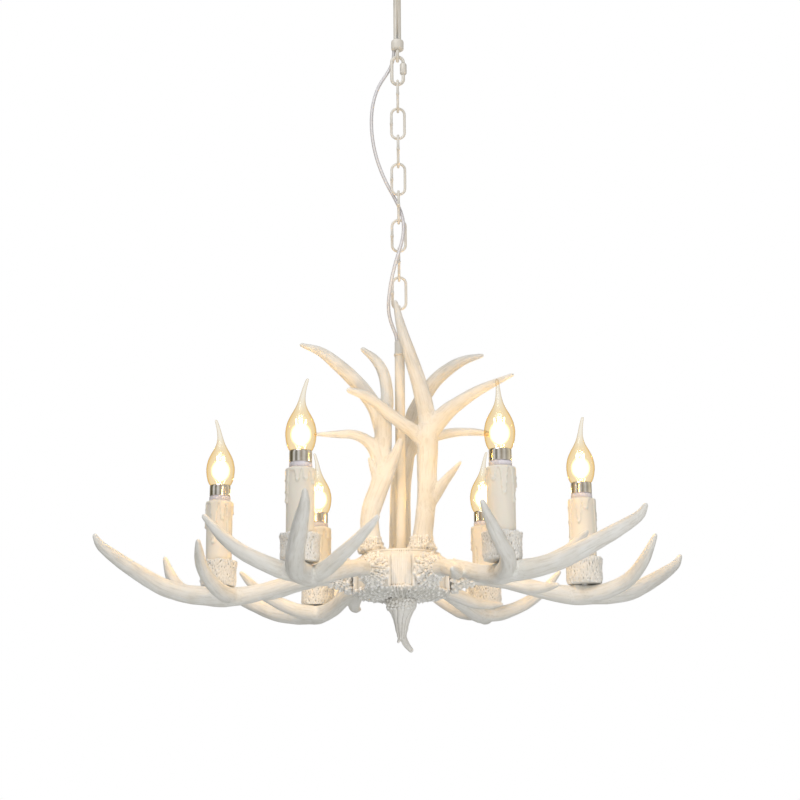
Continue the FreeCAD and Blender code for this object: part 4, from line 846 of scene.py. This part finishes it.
# ------------------------------------------------------------------ candle sleeves
# Ivory plastic tubes made to look like wax: a skin of melted wax over the shoulder runs down
# the sides in drips of different lengths.
SLEEVE_FOOT = CUP_SEAT + 4.0
SLEEVE_TOP = CUP_SEAT + 104.6
SLEEVE_RADIUS = 15.7
SLEEVE = [(13.5, 0.0), (SLEEVE_RADIUS, 0.0), (SLEEVE_RADIUS, 96.0), (15.3, 98.4), (14.2, 100.1),
          (12.8, 100.6), (12.0, 100.6), (12.0, 97.0), (13.5, 96.5), (13.5, 0.0)]
SLEEVE_CREASE = 50
# The wax: how thick, how far down it comes everywhere, and its drips.
WAX = 1.45
WAX_EDGE = 4.0
DRIPS = 8
DRIP_LENGTHS = [14, 22, 30, 38, 52]
DRIP_WIDTHS = (1.9, 3.3)


def melt(made, seed):
    """Lay melted wax over the top of a sleeve, with a wavy lower edge that runs down in drips."""
    spots, normals = read_points(made.data)
    draw = np.random.default_rng(seed)
    turn = np.arctan2(spots[:, 1], spots[:, 0])
    drop = SLEEVE_TOP - spots[:, 2]
    edge = WAX_EDGE + 2.5 * ripple(np.column_stack([np.cos(turn), np.sin(turn), 0 * turn]) * 16, 9, seed)
    for k in range(DRIPS):
        middle = draw.uniform(0, 0.5) + k * 2 * math.pi / DRIPS
        width, length = draw.uniform(*DRIP_WIDTHS), draw.choice(DRIP_LENGTHS)
        arc = SLEEVE_RADIUS * ((turn - middle + math.pi) % (2 * math.pi) - math.pi)
        edge += length / (1 + (arc / width) ** 6)
    inside = edge - drop
    skin = np.clip(inside / 1.4, 0, 1) * (np.hypot(spots[:, 0], spots[:, 1]) > 15.0)
    lip = np.exp(-((inside - 2.2) / 1.6) ** 2) * (edge > 12)
    moved = WAX * (skin + 0.55 * lip * skin) + 0.10 * ripple(spots * (1, 1, 0.4), 5, seed + 1)
    spots += normals * (moved * (spots[:, 2] > SLEEVE_FOOT + 1))[:, None]
    write_points(made.data, spots)


# Ivory plastic lets a little light in; by how pointed the skin is, it is darker and yellower in the hollows
# beside the drips and lighter on their crests.
ivory, tree, shader = new_material("moulded_plastic_ivory")
skin = add(tree, "NewGeometry")
relief = ramp(tree, skin.outputs["Pointiness"], [(0.42, "#CFC5AE"), (0.485, "#F5EEE1"), (0.515, "#F5EEE1"),
                                                 (0.58, "#FFFDF6")])
tree.links.new(relief.outputs["Color"], shader.inputs["Base Color"])
gloss = add(tree, "MapRange", {"To Min": 0.38, "To Max": 0.6}, {"Value": noise(tree, 160.0, 3.0)})
tree.links.new(gloss.outputs["Result"], shader.inputs["Roughness"])
shader.inputs["Subsurface Weight"].default_value = 0.15
shader.inputs["Subsurface Radius"].default_value = (0.004, 0.003, 0.002)
blank = turned([(r, SLEEVE_FOOT + z) for r, z in SLEEVE], sides=144, name="candle_sleeve_blank", step=1.1)
blank.data.materials.append(ivory)
bpy.ops.object.shade_smooth_by_angle(angle=math.radians(SLEEVE_CREASE))
for number, azimuth in enumerate(AZIMUTHS, start=1):
    sleeve = copy_round(blank, f"candle_sleeve_{number}_wax", 0)
    melt(sleeve, 200 + 5 * number)
    sleeve.data.transform(candle_place(azimuth))
    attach(sleeve, "chandelier")
    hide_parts(f"candle_sleeve_{number}")
bpy.data.objects.remove(blank)

# ------------------------------------------------------------------ lampholders
# Screw lampholders of white glazed plastic, which keep their CAD form. Only their rims show,
# on top of the sleeves.
bakelite = mottled("glazed_lampholder_white", "#ECE6EE", "#F3EFF4", roughness=0.25, grain=0.008, tooth=0.03)
finish_copy("lampholders", "chandelier", bakelite)

# ------------------------------------------------------------------ bulbs
# Candle bulbs with a drawn-out bent tail: thin clear glass with a warm tint, a bright nickel
# collar and cap, and four filament sticks round a glass stem.
BULB_SEAT = SLEEVE_TOP + 5.7
COLLAR = [(4.0, -21), (6.0, -20), (6.9, -18), (6.9, -0.2), (12.2, -0.2), (12.7, 0.3), (12.7, 12.9),
          (12.3, 13.4), (10.8, 13.6), (4.0, 13.6)]
COLLAR_CREASE = 40
GLASS_FOOT = BULB_SEAT + 13.4
GLASS = [(2.0, 0.2), (12.2, 0.2), (13.6, 2.0), (15.2, 5.5), (16.6, 11), (17.3, 17), (17.4, 21), (16.9, 25.5),
         (15.7, 31), (13.8, 36), (11.5, 40.5), (9.2, 44.5), (7.1, 48.5), (5.4, 52.5), (4.1, 57), (3.3, 61.5),
         (2.8, 66), (2.4, 71), (2.1, 76), (1.9, 80), (1.7, 81.5), (1.2, 82.6), (0.4, 83.0)]
# Each bulb's tail leans towards an azimuth and bends by some millimetres, from this high up.
TAILS = ((100, 7.0), (340, 5.0), (20, 6.5), (160, 6.5), (190, 7.0), (350, 7.5))
TAIL_FOOT = 44
TAIL_LENGTH = 39
# The filament sticks lean outwards from their feet to their heads.
FILAMENTS = 4
FILAMENT_FOOT = 10
FILAMENT_LENGTH = 26.0
FILAMENT_RADIUS = 0.9
FOOT_REACH = 3.2
HEAD_REACH = 5.6
# Each bulb has a shell of glare round its filaments, and a small round lamp inside that.
GLARE_RADIUS = 12
GLARE_HEIGHT = 19
GLARE_STRETCH = 1.15
LAMP_HEIGHT = 24
LAMP_POWER = 0.6
LAMP_COLOUR = "#FFCE69"
LAMP_RADIUS = 8

# The collar and cap are bright nickel on brass.
nickel = mottled("nickel_plated_brass", "#C8C4BC", "#D8D5CF", roughness=0.15, grain=0.01, tooth=0.01,
                 metal=1.0)

# Thin blown glass, warmer where the eye looks along it and more neutral in the drawn tail.
glass, tree, shader = new_material("thin_warm_glass")
tree.nodes.remove(shader)
facing = add(tree, "LayerWeight", {"Blend": 0.5})
tint = ramp(tree, facing.outputs["Facing"], [(0.0, "#FCF2DC"), (0.45, "#FAECD0"), (0.7, "#F5E0B6"),
                                             (0.86, "#EBD2A0"), (0.97, "#B49F78")])
pale = ramp(tree, facing.outputs["Facing"], [(0.0, "#FBF8F1"), (0.5, "#F4EDE0"), (0.8, "#DCD0BD"),
                                             (0.97, "#A2988A")])
place = add(tree, "TexCoord")
level = add(tree, "SeparateXYZ", links={0: place.outputs["Object"]})
warm, clearer = (GLASS_FOOT + 40) / MM, (GLASS_FOOT + 62) / MM
tail = add(tree, "MapRange", {"From Min": warm, "From Max": clearer}, {"Value": level.outputs["Z"]})
blend = add(tree, "Mix", {"data_type": "RGBA"},
            {0: tail.outputs["Result"], 6: tint.outputs["Color"], 7: pale.outputs["Color"]})
clear = add(tree, "BsdfTransparent", links={"Color": blend.outputs[2]})
gloss = add(tree, "BsdfGlossy", {"Roughness": 0.04})
edge = ramp(tree, facing.outputs["Facing"], [(0.0, "#2A2A2A"), (0.7, "#3C3C3C"), (1.0, "#909090")])
mixed = add(tree, "MixShader", links={0: edge.outputs["Color"], 1: clear.outputs["BSDF"],
                                      2: gloss.outputs["BSDF"]})
tree.links.new(mixed.outputs["Shader"], tree.nodes["Material Output"].inputs["Surface"])

# Yellow phosphor over a row of tiny diodes: brighter spots a millimetre apart.
glowing, tree, shader = new_material("lit_filament")
shader.inputs["Emission Strength"].default_value = 6.0
phosphor = ramp(tree, noise(tree, 900.0, 1.0), [(0.35, "#FFD98A"), (0.6, "#FFF0C8")])
tree.links.new(phosphor.outputs["Color"], shader.inputs["Base Color"])
tree.links.new(phosphor.outputs["Color"], shader.inputs["Emission Color"])

# The filaments' glare: brightest in the middle and clear at its rim, white to yellow. It stops
# no light from the lamp inside it.
glare, tree, shader = new_material("filament_glare")
tree.nodes.remove(shader)
facing = add(tree, "LayerWeight", {"Blend": 0.5})
colour = ramp(tree, facing.outputs["Facing"], [(0.0, "#FFFFFF"), (0.55, "#FFF3C4"), (1.0, "#FFC24A")])
shine = add(tree, "Emission", {"Strength": 2.2}, {"Color": colour.outputs["Color"]})
empty = add(tree, "BsdfTransparent")
cover = ramp(tree, facing.outputs["Facing"], [(0.25, "#FFFFFF"), (0.95, "#000000")], "EASE")
rays = add(tree, "LightPath")
seen = add(tree, "Math", {"operation": "MULTIPLY"},
           {0: cover.outputs["Color"], 1: rays.outputs["Is Camera Ray"]})
mixed = add(tree, "MixShader", links={0: seen.outputs["Value"], 1: empty.outputs["BSDF"],
                                      2: shine.outputs["Emission"]})
tree.links.new(mixed.outputs["Shader"], tree.nodes["Material Output"].inputs["Surface"])

blown = turned([(r, GLASS_FOOT + z) for r, z in GLASS], sides=72, name="bulb_glass_blank", step=1.5)
coat(blown, glass)
spun = turned([(r, BULB_SEAT + z) for r, z in COLLAR], sides=72, name="bulb_cap_blank", step=3.0)
spun.data.materials.append(nickel)
bpy.ops.object.shade_smooth_by_angle(angle=math.radians(COLLAR_CREASE))
sticks = []
for k in range(FILAMENTS):
    angle = math.radians(45 + 360 / FILAMENTS * k)
    base, away = GLASS_FOOT + FILAMENT_FOOT, (math.cos(angle), math.sin(angle))
    foot = (FOOT_REACH * away[0], FOOT_REACH * away[1], base)
    head = (HEAD_REACH * away[0], HEAD_REACH * away[1], base + FILAMENT_LENGTH)
    sticks.append(build_limb(smooth_line([foot, head], [FILAMENT_RADIUS, FILAMENT_RADIUS]), "stick"))
strung = join(sticks)
coat(strung, glowing)

bpy.ops.mesh.primitive_uv_sphere_add(segments=48, ring_count=24, radius=GLARE_RADIUS / MM,
                                     location=(0, 0, (GLASS_FOOT + GLARE_HEIGHT) / MM))
flare = bpy.context.object
bpy.ops.transform.resize(value=(1, 1, GLARE_STRETCH))
bpy.ops.object.transform_apply(location=True, rotation=True, scale=True)
coat(flare, glare)

for number, azimuth in enumerate(AZIMUTHS, start=1):
    lean, bend = TAILS[number - 1]
    home = candle_place(azimuth)
    envelope = copy_round(blown, f"bulb_{number}_glass", 0)
    spots, _ = read_points(envelope.data)
    rise = np.clip((spots[:, 2] - GLASS_FOOT - TAIL_FOOT) / TAIL_LENGTH, 0, 1)
    way = math.radians(lean - azimuth)
    spots[:, 0] += math.cos(way) * bend * rise ** 2
    spots[:, 1] += math.sin(way) * bend * rise ** 2
    write_points(envelope.data, spots)
    cap = copy_round(spun, f"bulb_{number}_cap", 0)
    filament = copy_round(strung, f"bulb_{number}_filament", 0)
    halo = copy_round(flare, f"bulb_{number}_glare", 0)
    for piece in (envelope, cap, filament, halo):
        piece.data.transform(home)
        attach(piece, f"bulb_{number}")
        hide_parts(f"bulb_{number}")
    spot = home @ Vector((0, 0, (GLASS_FOOT + LAMP_HEIGHT) / MM))
    bpy.ops.object.light_add(type="POINT", location=spot)
    lamp = bpy.context.object
    lamp.name = f"bulb_{number}_light"
    lamp.data.energy = LAMP_POWER
    lamp.data.color = lit(LAMP_COLOUR)[:3]
    lamp.data.shadow_soft_size = LAMP_RADIUS / MM
for blank in (blown, spun, strung, flare):
    bpy.data.objects.remove(blank)

# ------------------------------------------------------------------ studio
# A pale floor well below the lamp, white surroundings and two large soft lamps. The world shows
# pure white, lights less from below, and gives polished metal bands of grey and cream to mirror.
FLOOR_SIZE = 14
FLOOR_HEIGHT = -2.3
BANDS = [(0.0, "#8B7F5E"), (0.06, "#FFFFFF"), (0.13, "#6C6552"), (0.20, "#FFFFFF"), (0.27, "#B0A593"),
         (0.36, "#F6F3EE"), (0.42, "#B8B2A6"), (0.55, "#FFF4DC"), (0.66, "#8B7F5E"), (0.74, "#FFFFFF"),
         (0.86, "#A79E8C"), (0.95, "#6A6450")]
# The soft lamps: name, place, width in metres and power in watts; both aim at the hub.
SOFT_LAMPS = (("key", (-1.0, -1.5, 1.6), 1.4, 26), ("fill", (0.6, -2.0, -1.9), 1.8, 26))
AIM = Vector((0, 0, -0.75))

bpy.ops.mesh.primitive_plane_add(size=FLOOR_SIZE, location=(0, 0, FLOOR_HEIGHT))
floor = bpy.context.object
floor.name = "studio_floor"
paint, tree, shader = new_material("studio_floor_white")
shader.inputs["Base Color"].default_value = lit("#CFCFCC")
shader.inputs["Roughness"].default_value = 0.9
floor.data.materials.append(paint)
floor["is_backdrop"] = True

world = bpy.data.worlds.new("studio_white")
bpy.context.scene.world = world
world.use_nodes = True
tree = world.node_tree
backdrop = tree.nodes["Background"]
backdrop.inputs["Color"].default_value = (1, 1, 1, 1)
place = add(tree, "TexCoord")
height = add(tree, "SeparateXYZ", links={0: place.outputs["Generated"]})
fade = add(tree, "MapRange", {"From Min": -0.1, "From Max": 1.0, "To Min": 0.2, "To Max": 0.82},
           {"Value": height.outputs["Z"]})
soft = add(tree, "Background", links={"Strength": fade.outputs["Result"]})
swing = add(tree, "TexGradient", {"gradient_type": "RADIAL"}, {"Vector": place.outputs["Generated"]})
bands = ramp(tree, swing.outputs["Fac"], BANDS)
mirror = add(tree, "Background", links={"Color": bands.outputs["Color"]})
rays = add(tree, "LightPath")
dim = add(tree, "MixShader", links={0: rays.outputs["Is Glossy Ray"], 1: soft.outputs["Background"],
                                    2: mirror.outputs["Background"]})
mixed = add(tree, "MixShader", links={0: rays.outputs["Is Camera Ray"], 1: dim.outputs["Shader"],
                                      2: backdrop.outputs["Background"]})
tree.links.new(mixed.outputs["Shader"], tree.nodes["World Output"].inputs["Surface"])
for name, spot, size, power in SOFT_LAMPS:
    bpy.ops.object.light_add(type="AREA", location=spot)
    lamp = bpy.context.object
    lamp.name = f"studio_{name}"
    lamp.data.shape = "DISK"
    lamp.data.size = size
    lamp.data.energy = power
    lamp.rotation_euler = (AIM - Vector(spot)).to_track_quat("-Z", "Y").to_euler()
bpy.context.scene.view_settings.view_transform = "Standard"

low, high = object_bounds()
